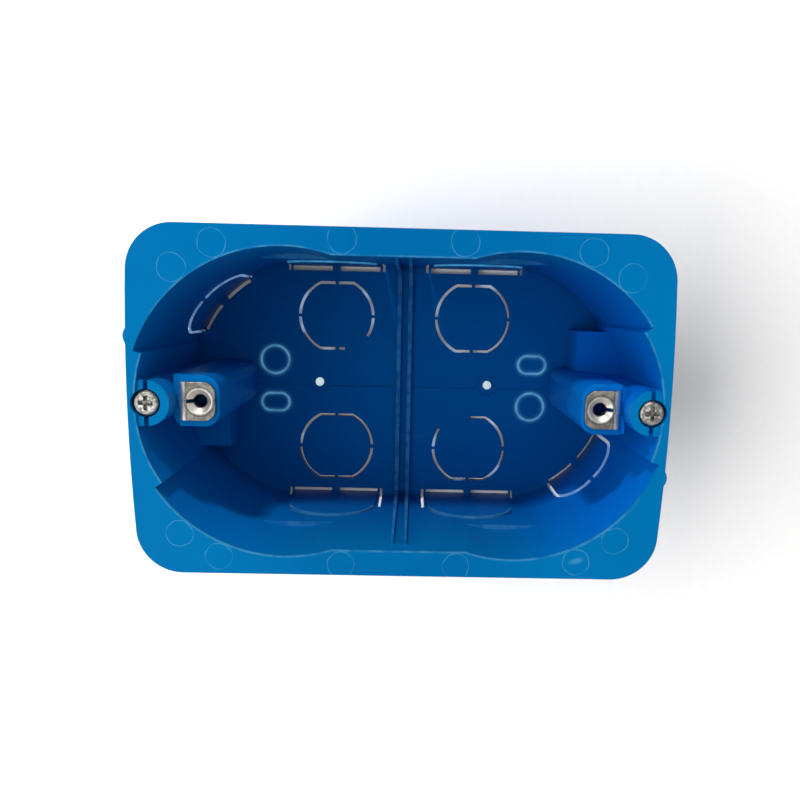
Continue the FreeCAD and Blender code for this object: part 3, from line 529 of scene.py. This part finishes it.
@dataclass(frozen=True)
class FlangeRings(MarkOrHighlight):
    """Thin uneven circles of the ejector pins on the flange's front."""

    unevenness: tuple = (0.315, 0.105)
    places: tuple = ((37.4, 31.8), (45.35, 27.0), (12.05, 33.2))
    radius: float = 2.8
    soft: tuple = (0.02, 0.17)
    wobble: float = 0.6
    wobble_scale: float = 420.0
    front: float = 49.0

    def mask(self, spot: Spot) -> Signal:
        """1 on the circles.

        Args:
            spot: Where it is read.

        Returns:
            The mask.
        """
        nearest = None
        for place_x, place_y in self.places:
            distance = length_of(abs(spot.x) - place_x, abs(spot.y) - place_y)
            nearest = distance if nearest is None else nearest.at_most(distance)
        wobble = (spot.noise(self.wobble_scale, 1.0) - 0.5) * self.wobble
        return (nearest + wobble).near(self.radius, self.soft) * spot.z.above(self.front)


@dataclass(frozen=True)
class FloorMarks(MarkOrHighlight):
    """Pale outlines of the round and the long mark on the floor."""

    unevenness: tuple = (0.3, 0.7)
    place: tuple = (33.45, 5.55)
    radius: float = 3.6
    long_half: float = 1.27
    long_radius: float = 2.3
    core_soft: tuple = (0.12, 0.45)
    core_share: float = 0.8
    glow_soft: tuple = (0.1, 1.3)
    glow_share: float = 0.22
    top: float = 2.4

    def mask(self, spot: Spot) -> Signal:
        """1 on the outlines, with a glow beside them.

        Args:
            spot: Where it is read.

        Returns:
            The mask.
        """
        along = spot.along - self.place[0]
        round_mark = length_of(along, spot.across + self.place[1]) - self.radius
        stretch = (abs(along) - self.long_half).at_least(0.0)
        long_mark = length_of(stretch, spot.across - self.place[1]) - self.long_radius
        nearest = abs(round_mark).at_most(abs(long_mark))
        core = nearest.near(0.0, self.core_soft) * self.core_share
        glow = nearest.near(0.0, self.glow_soft) * self.glow_share
        return (core + glow).at_most(1.0) * spot.z.below(self.top)


@dataclass(frozen=True)
class GateStub(MarkOrHighlight):
    """White stub of the gate in the middle of each half."""

    unevenness: tuple = (0.45, 0.55)
    place_x: float = 21.9
    edge: tuple = (0.95, 1.3)
    height: tuple = (1.7, 3.0)

    def mask(self, spot: Spot) -> Signal:
        """1 on the stub."""
        distance = length_of(spot.along - self.place_x, spot.across)
        return distance.near(0.0, self.edge) * spot.z.between(*self.height)


@dataclass(frozen=True)
class Scuffs(MarkOrHighlight):
    """Faint handling scuffs, stronger on the flange's front."""

    long_scale: float = 260.0
    long_stretch: tuple = (1.0, 0.12, 1.0)
    long_fade: tuple = (0.66, 0.8)
    cross_scale: float = 240.0
    cross_stretch: tuple = (0.1, 1.0, 1.0)
    cross_fade: tuple = (0.68, 0.82)
    patch_scale: float = 35.0
    patch_fade: tuple = (0.45, 0.7)
    front: float = 49.0
    front_share: float = 0.08
    share: float = 0.1

    def mask(self, spot: Spot) -> Signal:
        """Share of scuffs in the surface.

        Args:
            spot: Where it is read.

        Returns:
            The mask.
        """
        streaks = spot.noise(self.long_scale, stretch=self.long_stretch)
        crossing = spot.noise(self.cross_scale, stretch=self.cross_stretch)
        patches = spot.noise(self.patch_scale, 1.0).fade(*self.patch_fade)
        streaks = streaks.fade(*self.long_fade).at_least(crossing.fade(*self.cross_fade))
        return streaks * patches * spot.z.above(self.front).scaled(self.front_share, self.share)


@dataclass(frozen=True)
class BlueTonesAndShading:
    """Blue of the moulding, clearer towards both ends, with painted shade deeper inside and
    painted light on the walls of both ends.
    """

    deep: tuple = (0.0, 0.124, 0.345, 1.0)
    pale: tuple = (0.0, 0.160, 0.410, 1.0)
    pale_fade: tuple = (6.0, 46.0)
    pale_share: float = 0.75
    cloud_scale: float = 45.0
    cloud_fade: tuple = (0.35, 0.7)
    cloud_share: float = 0.35
    depth_shade_colour: tuple = (0.0, 0.083, 0.335, 1.0)
    depth_shade_fade: tuple = (8.0, 47.0)
    depth_shade_share: float = 0.9
    right_wall_light_colour: tuple = (0.0, 0.130, 0.56, 1.0)
    right_wall_light_fade: tuple = (22.0, 46.0)
    right_wall_light_share: float = 0.85
    left_wall_light_colour: tuple = (0.0, 0.150, 0.50, 1.0)
    left_wall_light_fade: tuple = (18.0, 38.0)
    left_wall_light_share: float = 0.8
    wall_top: float = 49.0
    wall_fade: tuple = (2.0, 12.0)

    def colour(self, spot: Spot) -> Signal:
        """Colour of the plastic, with its painted shade and painted light.

        Args:
            spot: Where it is read.

        Returns:
            The colour.
        """
        clouds = spot.noise(self.cloud_scale, 2.0).fade(*self.cloud_fade)
        ends = abs(spot.x).fade(*self.pale_fade) * self.pale_share
        walls = spot.z.below(self.wall_top) * spot.z.fade(*self.wall_fade)
        left = (-1.0 * spot.x).fade(*self.left_wall_light_fade)
        # Painted shade towards the floor; painted light on the right end's walls and on the
        # left end's walls.
        layers = (
            ((1.0 - spot.z.fade(*self.depth_shade_fade)) * self.depth_shade_share, self.depth_shade_colour),
            (spot.x.fade(*self.right_wall_light_fade) * walls * self.right_wall_light_share, self.right_wall_light_colour),
            (left * walls * self.left_wall_light_share, self.left_wall_light_colour),
        )
        share = (ends + clouds * self.cloud_share).at_most(1.0)
        colour = spot.shader.blend(share, self.deep, self.pale)
        for mask, tone in layers:
            colour = spot.shader.blend(mask, colour, tone)
        return colour


@dataclass(frozen=True)
class MouldedPlastic:
    """Satin self-coloured plastic with mould marks and light scuffs, plus painted highlights,
    painted shade and glows that stand in for light.
    """

    name: str = "moulded_blue"
    stress_and_highlight_colour: tuple = (0.10, 0.36, 0.58, 1.0)
    gate_white: tuple = (0.80, 0.88, 0.86, 1.0)
    unlit: tuple = (0.0, 0.0, 0.0, 1.0)
    mark_light: tuple = (0.045, 0.155, 0.25, 1.0)
    gate_light: tuple = (0.42, 0.50, 0.47, 1.0)
    slit_light: tuple = (0.26, 0.36, 0.48, 1.0)
    arch_light: tuple = (0.08, 0.50, 0.80, 1.0)
    uneven_scale: float = 330.0
    uneven_fade: tuple = (0.36, 0.62)
    grain_scale: float = 2600.0
    grain_height: float = 0.35
    wave_scale: float = 120.0
    wave_height: float = 0.6
    roughness: float = 0.33
    rough_waves: float = 0.12
    rough_scuffs: float = 0.15
    smooth_marks: float = 0.05
    bump_strength: float = 0.14
    bump_step: float = 0.0001
    refraction: float = 1.49
    specular: float = 0.34
    specular_tint: tuple = (0.02, 0.38, 0.80, 1.0)
    tones_and_shading: BlueTonesAndShading = BlueTonesAndShading()
    slit: CornerSlit = CornerSlit()
    arch: ArchLine = ArchLine()
    marks: FloorMarks = FloorMarks()
    scuffs: Scuffs = Scuffs()
    gate: GateStub = GateStub()
    disc: DiscSlit = DiscSlit()
    pale_lines: tuple = (FlangeRings(), MouthEdge(), LedgeEdge(), RibEdges(), Sheen())

    def build(self) -> bpy.types.Material:
        """Make the material.

        Returns:
            The material.
        """
        shader = Shader(self.name)
        spot = Spot.of(shader)
        uneven = spot.noise(self.uneven_scale, 2.0).fade(*self.uneven_fade)
        slits, gate = self.slit.mask(spot), self.gate.mask(spot)
        scuffs = self.scuffs.mask(spot)
        marks = self.marks.patchy(self.marks.mask(spot), uneven)
        arches = self.arch.patchy(self.arch.mask(spot), uneven)
        # Pale colour: stress whitening on the floor marks, scuffs, flange rings and corner
        # slits, and painted highlights on the knockouts' arches, the mouth's edge, the ledges,
        # the ribs and the sheen.
        whitening_and_highlights = marks.at_least(scuffs).at_least(arches).at_least(slits)
        for line in self.pale_lines:
            whitening_and_highlights = whitening_and_highlights.at_least(line.patchy(line.mask(spot), uneven))
        colour = shader.blend(whitening_and_highlights, self.tones_and_shading.colour(spot), self.stress_and_highlight_colour)
        # Painted light as emission: the floor marks, the corner slits, the arches on the walls
        # at positive Y, the floor slits' walls and the gate stub glow.
        glows = (
            (marks, self.mark_light),
            (self.slit.patchy(slits, uneven), self.slit_light),
            (arches * spot.y.above(0.0), self.arch_light),
            (self.disc.patchy(self.disc.mask(spot), uneven), self.slit_light),
            (self.gate.patchy(gate, uneven), self.gate_light),
        )
        light = self.unlit
        for mask, glow in glows:
            light = shader.blend(mask, light, glow)
        grain = spot.noise(self.grain_scale, 1.0) * self.grain_height
        waves = spot.noise(self.wave_scale, 2.0)
        rough = self.roughness + waves * self.rough_waves + scuffs * self.rough_scuffs
        height = grain + waves * self.wave_height
        shader.dress({
            "Base Color": shader.blend(gate, colour, self.gate_white),
            "Roughness": rough - marks * self.smooth_marks,
            "Normal": shader.bump(height, self.bump_strength, self.bump_step),
            "Emission Color": light,
            "Emission Strength": 1.0,
            "Specular Tint": self.specular_tint,
            "Specular IOR Level": self.specular,
            "IOR": self.refraction,
        })
        return shader.material


@dataclass(frozen=True)
class ZincSheet:
    """Zinc plated sheet steel with rolling lines and dull spots."""

    name: str
    bright: tuple = (0.60, 0.58, 0.55, 1.0)
    dull: tuple = (0.43, 0.42, 0.40, 1.0)
    bright_fade: tuple = (0.35, 0.65)
    spangle: float = 700.0
    lines: tuple = (0.15, 1.0, 1.0)
    line_scale: float = 3200.0
    roughness: float = 0.3
    rough_spangle: float = 0.18
    rough_lines: float = 0.1
    spangle_height: float = 0.6
    bump_strength: float = 0.25
    bump_step: float = 0.00005

    def build(self) -> bpy.types.Material:
        """Make the material.

        Returns:
            The material.
        """
        shader = Shader(self.name)
        spot = Spot.of(shader)
        spangle = spot.noise(self.spangle, 4.0)
        lines = spot.noise(self.line_scale, stretch=self.lines)
        colour = shader.blend(spangle.fade(*self.bright_fade), self.dull, self.bright)
        rough = self.roughness + spangle * self.rough_spangle + lines * self.rough_lines
        height = lines + spangle * self.spangle_height
        shader.dress({
            "Base Color": self.painted_light_and_shade(spot, colour, spangle),
            "Roughness": rough,
            "Normal": shader.bump(height, self.bump_strength, self.bump_step),
            "Metallic": 1.0,
        })
        return shader.material

    def painted_light_and_shade(self, spot: Spot, colour: Signal, spangle: Signal) -> Signal:
        """Colour with the finish's painted highlights and painted shade; the plain sheet adds
        none.

        Args:
            spot: Where it is read.
            colour: Colour of the plain sheet.
            spangle: Noise of the plating.

        Returns:
            The colour.
        """
        return colour


@dataclass(frozen=True)
class PressedInsert(ZincSheet):
    """Insert's sheet: polished around the dished hole, darker at the flats."""
    # Insert's sheet: darker at the flats, with a painted highlight around the dished hole and
    # on the fold, and painted shade in thin lines beside them.

    bright: tuple = (0.42, 0.40, 0.365, 1.0)
    dull: tuple = (0.22, 0.205, 0.185, 1.0)
    highlight_colour: tuple = (0.88, 0.84, 0.76, 1.0)
    ring_and_fold_light: tuple = (0.8, 0.45)
    shade: tuple = (0.10, 0.095, 0.09, 1.0)
    shade_share: float = 0.6
    hole_x: float = 41.75
    dish_inner: tuple = (1.3, 1.7)
    dish_outer: tuple = (2.5, 2.95)
    groove_radius: float = 3.05
    groove_soft: tuple = (0.05, 0.3)
    fold_fade: tuple = (44.4, 45.2)
    crease_x: float = 44.45
    crease_soft: tuple = (0.05, 0.25)
    plate_bottom: float = 44.0

    def painted_light_and_shade(self, spot: Spot, colour: Signal, spangle: Signal) -> Signal:
        """Painted highlight on a ring around the hole and on the fold, with painted shade in
        thin lines beside them.

        Args:
            spot: Where it is read.
            colour: Colour of the plain sheet.
            spangle: Noise of the plating.

        Returns:
            The colour.
        """
        distance = length_of(spot.along - self.hole_x, spot.across)
        # Painted highlight on the dish's ring and on the fold.
        ring = distance.fade(*self.dish_inner) * (1.0 - distance.fade(*self.dish_outer))
        ring_and_fold_light = ring.at_least(spot.along.fade(*self.fold_fade))
        # Painted shade along the groove around the dish and along the fold's crease.
        groove = distance.near(self.groove_radius, self.groove_soft)
        dark = groove.at_least(spot.along.near(self.crease_x, self.crease_soft))
        dark = dark * spot.z.above(self.plate_bottom) * self.shade_share
        colour = spot.shader.blend(ring_and_fold_light * spangle.scaled(*self.ring_and_fold_light), colour, self.highlight_colour)
        return spot.shader.blend(dark, colour, self.shade)


@dataclass(frozen=True)
class PlatedScrew(ZincSheet):
    """Claw screw: painted shade in the cross recess and on the head's rim, with painted glints
    at the cross's corners.
    """

    spangle: float = 1500.0
    dull: tuple = (0.25, 0.245, 0.22, 1.0)
    highlight_colour: tuple = (0.92, 0.90, 0.84, 1.0)
    shade: tuple = (0.05, 0.055, 0.05, 1.0)
    axis_x: float = 51.5
    head_bottom: float = 48.2
    arm_fade: tuple = (0.3, 0.62)
    reach_fade: tuple = (1.3, 1.75)
    glint_fade: tuple = (0.42, 0.62)
    glint_share: float = 0.8
    corner: float = 0.75
    corner_soft: tuple = (0.05, 0.4)
    corner_reach: tuple = (1.2, 2.0)
    corner_glint_fade: tuple = (0.4, 0.6)
    rim_fade: tuple = (2.15, 2.5)
    rim_share: float = 0.6
    cross_share: float = 0.7

    def painted_light_and_shade(self, spot: Spot, colour: Signal, spangle: Signal) -> Signal:
        """Painted shade in the cross recess and on the head's rim, with painted glints at the
        cross's corners.

        Args:
            spot: Where it is read.
            colour: Colour of the plain plating.
            spangle: Noise of the plating.

        Returns:
            The colour.
        """
        first, second = abs(spot.along - self.axis_x), abs(spot.across)
        arm, reach = first.at_most(second), first.at_least(second)
        top = spot.z.above(self.head_bottom)
        glint = 1.0 - spangle.fade(*self.glint_fade) * self.glint_share
        cross = (1.0 - arm.fade(*self.arm_fade)) * (1.0 - reach.fade(*self.reach_fade)) * glint
        # Painted glints at the corners of the cross.
        patchy = arm.near(self.corner, self.corner_soft) * (1.0 - reach.fade(*self.corner_reach))
        patchy = patchy * spangle.fade(*self.corner_glint_fade) * top
        # Painted shade on the head's rim and in the cross recess.
        rim = length_of(first, second).fade(*self.rim_fade) * top
        dark = (cross * self.cross_share).at_least(rim * self.rim_share) * top
        colour = spot.shader.blend(patchy, colour, self.highlight_colour)
        return spot.shader.blend(dark, colour, self.shade)


@dataclass(frozen=True)
class PaleFloor:
    """White table under the box, lit through like a light table."""

    name: str = "pale_floor"
    colour: tuple = (0.76, 0.755, 0.745, 1.0)
    fibre: tuple = (0.79, 0.79, 0.785, 1.0)
    fibre_scale: float = 500.0
    light: tuple = (0.05, 0.047, 0.043, 1.0)
    # Painted light: the floor glows more under the box than around it, so the slits show light
    # through them.
    under_box_glow: tuple = (0.105, 0.098, 0.088, 1.0)
    side_fade: tuple = (24.5, 28.0)
    end_fade: tuple = (42.0, 50.0)
    roughness: float = 0.85

    def build(self) -> bpy.types.Material:
        """Make the material.

        Returns:
            The material.
        """
        shader = Shader(self.name)
        spot = Spot.of(shader)
        outside = abs(spot.y).fade(*self.side_fade).at_least(abs(spot.x).fade(*self.end_fade))
        shader.dress({
            "Base Color": shader.blend(spot.noise(self.fibre_scale), self.colour, self.fibre),
            "Roughness": self.roughness,
            "Emission Color": shader.blend(outside, self.under_box_glow, self.light),
            "Emission Strength": 1.0,
        })
        return shader.material


def add_object(name: str, shape: bmesh.types.BMesh,
               material: bpy.types.Material) -> bpy.types.Object:
    """Make an object at the origin from a finished shape.

    Args:
        name: Name of the mesh and the object.
        shape: The shape, freed afterwards.
        material: Its finish.

    Returns:
        The new object.
    """
    mesh = bpy.data.meshes.new(name)
    shape.to_mesh(mesh)
    shape.free()
    mesh.materials.clear()
    mesh.materials.append(material)
    piece = bpy.data.objects.new(name, mesh)
    bpy.context.scene.collection.objects.link(piece)
    return piece


@dataclass
class DressedNode:
    """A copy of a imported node, merged, smoothed and bevelled, that stands for it."""

    node: str
    body: str
    slot: str
    bevel_mm: float = 0.12
    bevel_segments: int = 2
    sharp_degrees: float = 30.0
    flat_degrees: float = 0.5
    merge_mm: float = 0.002
    flat_weight: int = 100

    def build(self, material: bpy.types.Material) -> bpy.types.Object:
        """Make the piece.

        Args:
            material: Its finish.

        Returns:
            The new object.
        """
        shape = bmesh.new()
        shape.from_mesh(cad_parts[self.node].data)
        self.refine(shape)
        piece = add_object(f"{self.node}_skin", shape, material)
        piece.data.shade_smooth()
        self.add_bevel(piece)
        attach(piece, self.body)
        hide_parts(self.node)
        return piece

    def refine(self, shape: bmesh.types.BMesh) -> None:
        """Merge the loose triangles and make flats whole.

        Args:
            shape: The mesh, changed in place.
        """
        bmesh.ops.remove_doubles(shape, verts=shape.verts, dist=self.merge_mm * MM)
        bmesh.ops.dissolve_limit(
            shape, angle_limit=math.radians(self.flat_degrees),
            verts=shape.verts, edges=shape.edges)
        sharp = math.radians(self.sharp_degrees)
        for edge in shape.edges:
            edge.smooth = len(edge.link_faces) == 2 and edge.calc_face_angle() < sharp

    def add_bevel(self, piece: bpy.types.Object) -> None:
        """Round the sharp edges and keep the flats' shading flat.

        Args:
            piece: The object.
        """
        bevel = piece.modifiers.new("edge_round", "BEVEL")
        bevel.limit_method = "ANGLE"
        bevel.angle_limit = math.radians(self.sharp_degrees)
        bevel.width = self.bevel_mm * MM
        bevel.segments = self.bevel_segments
        bevel.use_clamp_overlap = True
        bevel.harden_normals = True
        normals = piece.modifiers.new("flat_shading", "WEIGHTED_NORMAL")
        normals.keep_sharp = True
        normals.weight = self.flat_weight


@dataclass
class ScrewNode(DressedNode):
    """A claw screw, slimmed at its shank, where the thread's ridge goes."""

    side: Side = Side.RIGHT
    axis_x: float = 51.5
    shank_radius: float = 1.5
    core_radius: float = 1.26
    reach: float = 0.05
    shank_top: float = 47.0
    pitch: float = 0.8
    turn_steps: int = 20
    ridge_span: tuple = (3.0, 40.0)
    ridge_share: float = 0.84
    crest_flat: float = 0.1
    sunk: float = 0.06
    shy: float = 0.01

    def refine(self, shape: bmesh.types.BMesh) -> None:
        """Merge the mesh, then draw the shank in to the thread's core.

        Args:
            shape: The mesh, changed in place.
        """
        super().refine(shape)
        axis = self.axis()
        limit = (self.shank_radius + self.reach) * MM
        for vertex in shape.verts:
            arm = Vector((vertex.co.x - axis.x, vertex.co.y - axis.y, 0.0))
            if vertex.co.z < self.shank_top * MM and arm.length < limit:
                vertex.co -= arm * (1.0 - self.core_radius / self.shank_radius)

    def axis(self) -> Vector:
        """Point on the screw's axis, in metres."""
        return Vector((self.side.sign * self.axis_x * MM, 0.0, 0.0))

    def add_thread(self, material: bpy.types.Material) -> bpy.types.Object:
        """Helical ridge around the core.

        Args:
            material: Its finish.

        Returns:
            The new object.
        """
        shape = bmesh.new()
        foot, crest = self.core_radius - self.sunk, self.shank_radius - self.shy
        half, flat = self.pitch * self.ridge_share / 2, self.crest_flat / 2
        bottom, top = self.ridge_span
        start = self.axis() + Vector((0.0, 0.0, bottom * MM))
        profile = ((foot, -half), (crest, -flat), (crest, flat), (foot, half))
        points = [shape.verts.new(start + Vector((out, 0.0, up)) * MM) for out, up in profile]
        first = shape.faces.new(points)
        steps = round((top - bottom) / self.pitch * self.turn_steps)
        rise = Vector((0.0, 0.0, self.pitch / self.turn_steps)) * MM
        bmesh.ops.spin(
            shape, geom=[first], cent=start, axis=(0.0, 0.0, 1.0), dvec=rise,
            angle=2 * math.pi * steps / self.turn_steps, steps=steps, use_duplicate=False)
        bmesh.ops.recalc_face_normals(shape, faces=shape.faces)
        ridge = add_object(f"{self.node}_thread", shape, material)
        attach(ridge, self.body)
        return ridge


@dataclass
class BackBox:
    """The whole box: moulding, inserts, screws and claws."""

    plastic: MouldedPlastic = field(default_factory=MouldedPlastic)
    sheet: PressedInsert = field(default_factory=lambda: PressedInsert("zinc_sheet"))
    plating: PlatedScrew = field(default_factory=lambda: PlatedScrew(
        "plated_screw", roughness=0.2, lines=(1.0, 1.0, 0.2)))
    claw_sheet: ZincSheet = field(default_factory=lambda: ZincSheet(
        "zinc_claw", roughness=0.34))
    box_bevel_mm: float = 0.15
    screw_bevel_mm: float = 0.06

    def build(self) -> list[bpy.types.Object]:
        """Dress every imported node.

        Returns:
            The pieces.
        """
        moulding = DressedNode("back_box", "box", "moulded_blue", self.box_bevel_mm)
        pieces = [moulding.build(self.plastic.build())]
        insert_finish, screw_finish = self.sheet.build(), self.plating.build()
        claw_finish = self.claw_sheet.build()
        for side in Side:
            end = side.value
            insert = DressedNode(f"fixing_insert_{end}", "box", "zinc_sheet")
            screw = ScrewNode(f"claw_screw_{end}", f"screw_{end}", "plated_screw",
                              self.screw_bevel_mm, side=side)
            claw = DressedNode(f"claw_{end}", f"claw_{end}", "zinc_claw")
            pieces += [insert.build(insert_finish), screw.build(screw_finish),
                       claw.build(claw_finish), screw.add_thread(screw_finish)]
        return pieces


@dataclass
class PhotoCamera:
    """Camera at the photograph's viewing angle, from an image of 800 by 800 pixels."""

    image_px: float = 800.0
    focal_px: float = 782.4
    centre_px: tuple = (427.68, 439.79)
    place_mm: tuple = (1.955, 22.367, 206.955)
    right: tuple = (0.99953126, 0.02427844, 0.01864991)
    up: tuple = (-0.02054022, 0.9835384, -0.17952805)
    sensor_mm: float = 36.0
    clip_start: float = 0.005

    def build(self) -> None:
        """Make the scene's camera."""
        data = bpy.data.cameras.new("photo_camera")
        data.sensor_width = self.sensor_mm
        data.lens = self.focal_px * self.sensor_mm / self.image_px
        data.shift_x = (self.image_px / 2 - self.centre_px[0]) / self.image_px
        data.shift_y = (self.centre_px[1] - self.image_px / 2) / self.image_px
        data.clip_start = self.clip_start
        camera = bpy.data.objects.new("photo_camera", data)
        bpy.context.scene.collection.objects.link(camera)
        right, up = Vector(self.right), Vector(self.up)
        turn = Matrix((right, up, right.cross(up))).transposed().to_4x4()
        camera.matrix_world = Matrix.Translation(Vector(self.place_mm) * MM) @ turn
        bpy.context.scene.camera = camera


@dataclass(frozen=True)
class SoftLight:
    """Square area light that looks at the box, in metres and watts."""

    name: str
    place: tuple
    size: float
    watts: float
    aim: tuple = (0.0, 0.0, 0.03)

    def build(self) -> bpy.types.Object:
        """Make the light.

        Returns:
            The light.
        """
        data = bpy.data.lights.new(self.name, "AREA")
        data.energy = self.watts
        data.size = self.size
        light = bpy.data.objects.new(self.name, data)
        light.location = self.place
        look = Vector(self.aim) - Vector(self.place)
        light.rotation_euler = look.to_track_quat("-Z", "Y").to_euler()
        bpy.context.scene.collection.objects.link(light)
        return light


@dataclass
class Studio:
    """Pale floor, even sky and soft lights."""

    floor_size: float = 3.0
    floor_parts: int = 8
    sky: tuple = (1.0, 1.0, 1.0, 1.0)
    sky_strength: float = 0.58
    key: SoftLight = SoftLight("key_light", (-0.19, 0.83, 0.55), 0.09, 5.5)
    side: SoftLight = SoftLight("side_light", (-0.86, -0.08, 0.55), 1.4, 8.5)
    ground: SoftLight = SoftLight("ground_light", (-0.86, 0.03, 0.55), 1.4, 23.0)

    def build(self, pieces: list[bpy.types.Object]) -> None:
        """Make the floor, the sky and the lights.

        Args:
            pieces: The box's own pieces, which the key light shines on.
        """
        floor = self._floor()
        world = bpy.data.worlds.new("studio_sky")
        world.use_nodes = True
        background = world.node_tree.nodes["Background"]
        background.inputs[0].default_value = self.sky
        background.inputs[1].default_value = self.sky_strength
        bpy.context.scene.world = world
        self._shine_on(self.key.build(), "box_pieces", pieces)
        self.side.build()
        self._shine_on(self.ground.build(), "floor_only", [floor])

    def _floor(self) -> bpy.types.Object:
        """Flat floor at the back of the box.

        Returns:
            The floor.
        """
        shape = bmesh.new()
        bmesh.ops.create_grid(
            shape, x_segments=self.floor_parts, y_segments=self.floor_parts,
            size=self.floor_size / 2)
        return add_object("pale_floor", shape, PaleFloor().build())

    @staticmethod
    def _shine_on(light: bpy.types.Object, name: str,
                  targets: list[bpy.types.Object]) -> None:
        """Let a light shine only on some objects.

        Args:
            light: The light.
            name: Name of the collection of its targets.
            targets: The objects that it shines on.
        """
        collection = bpy.data.collections.new(name)
        for target in targets:
            collection.objects.link(target)
        light.light_linking.receiver_collection = collection


def main() -> None:
    """Build the camera, the box and the studio."""
    logging.basicConfig(level=logging.INFO)
    bpy.context.scene.view_settings.view_transform = "Standard"
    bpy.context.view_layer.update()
    PhotoCamera().build()
    pieces = BackBox().build()
    for piece in pieces:
        LOG.info("%s: %d faces", piece.name, len(piece.data.polygons))
    Studio().build(pieces)


if __name__ == "__main__":
    main()
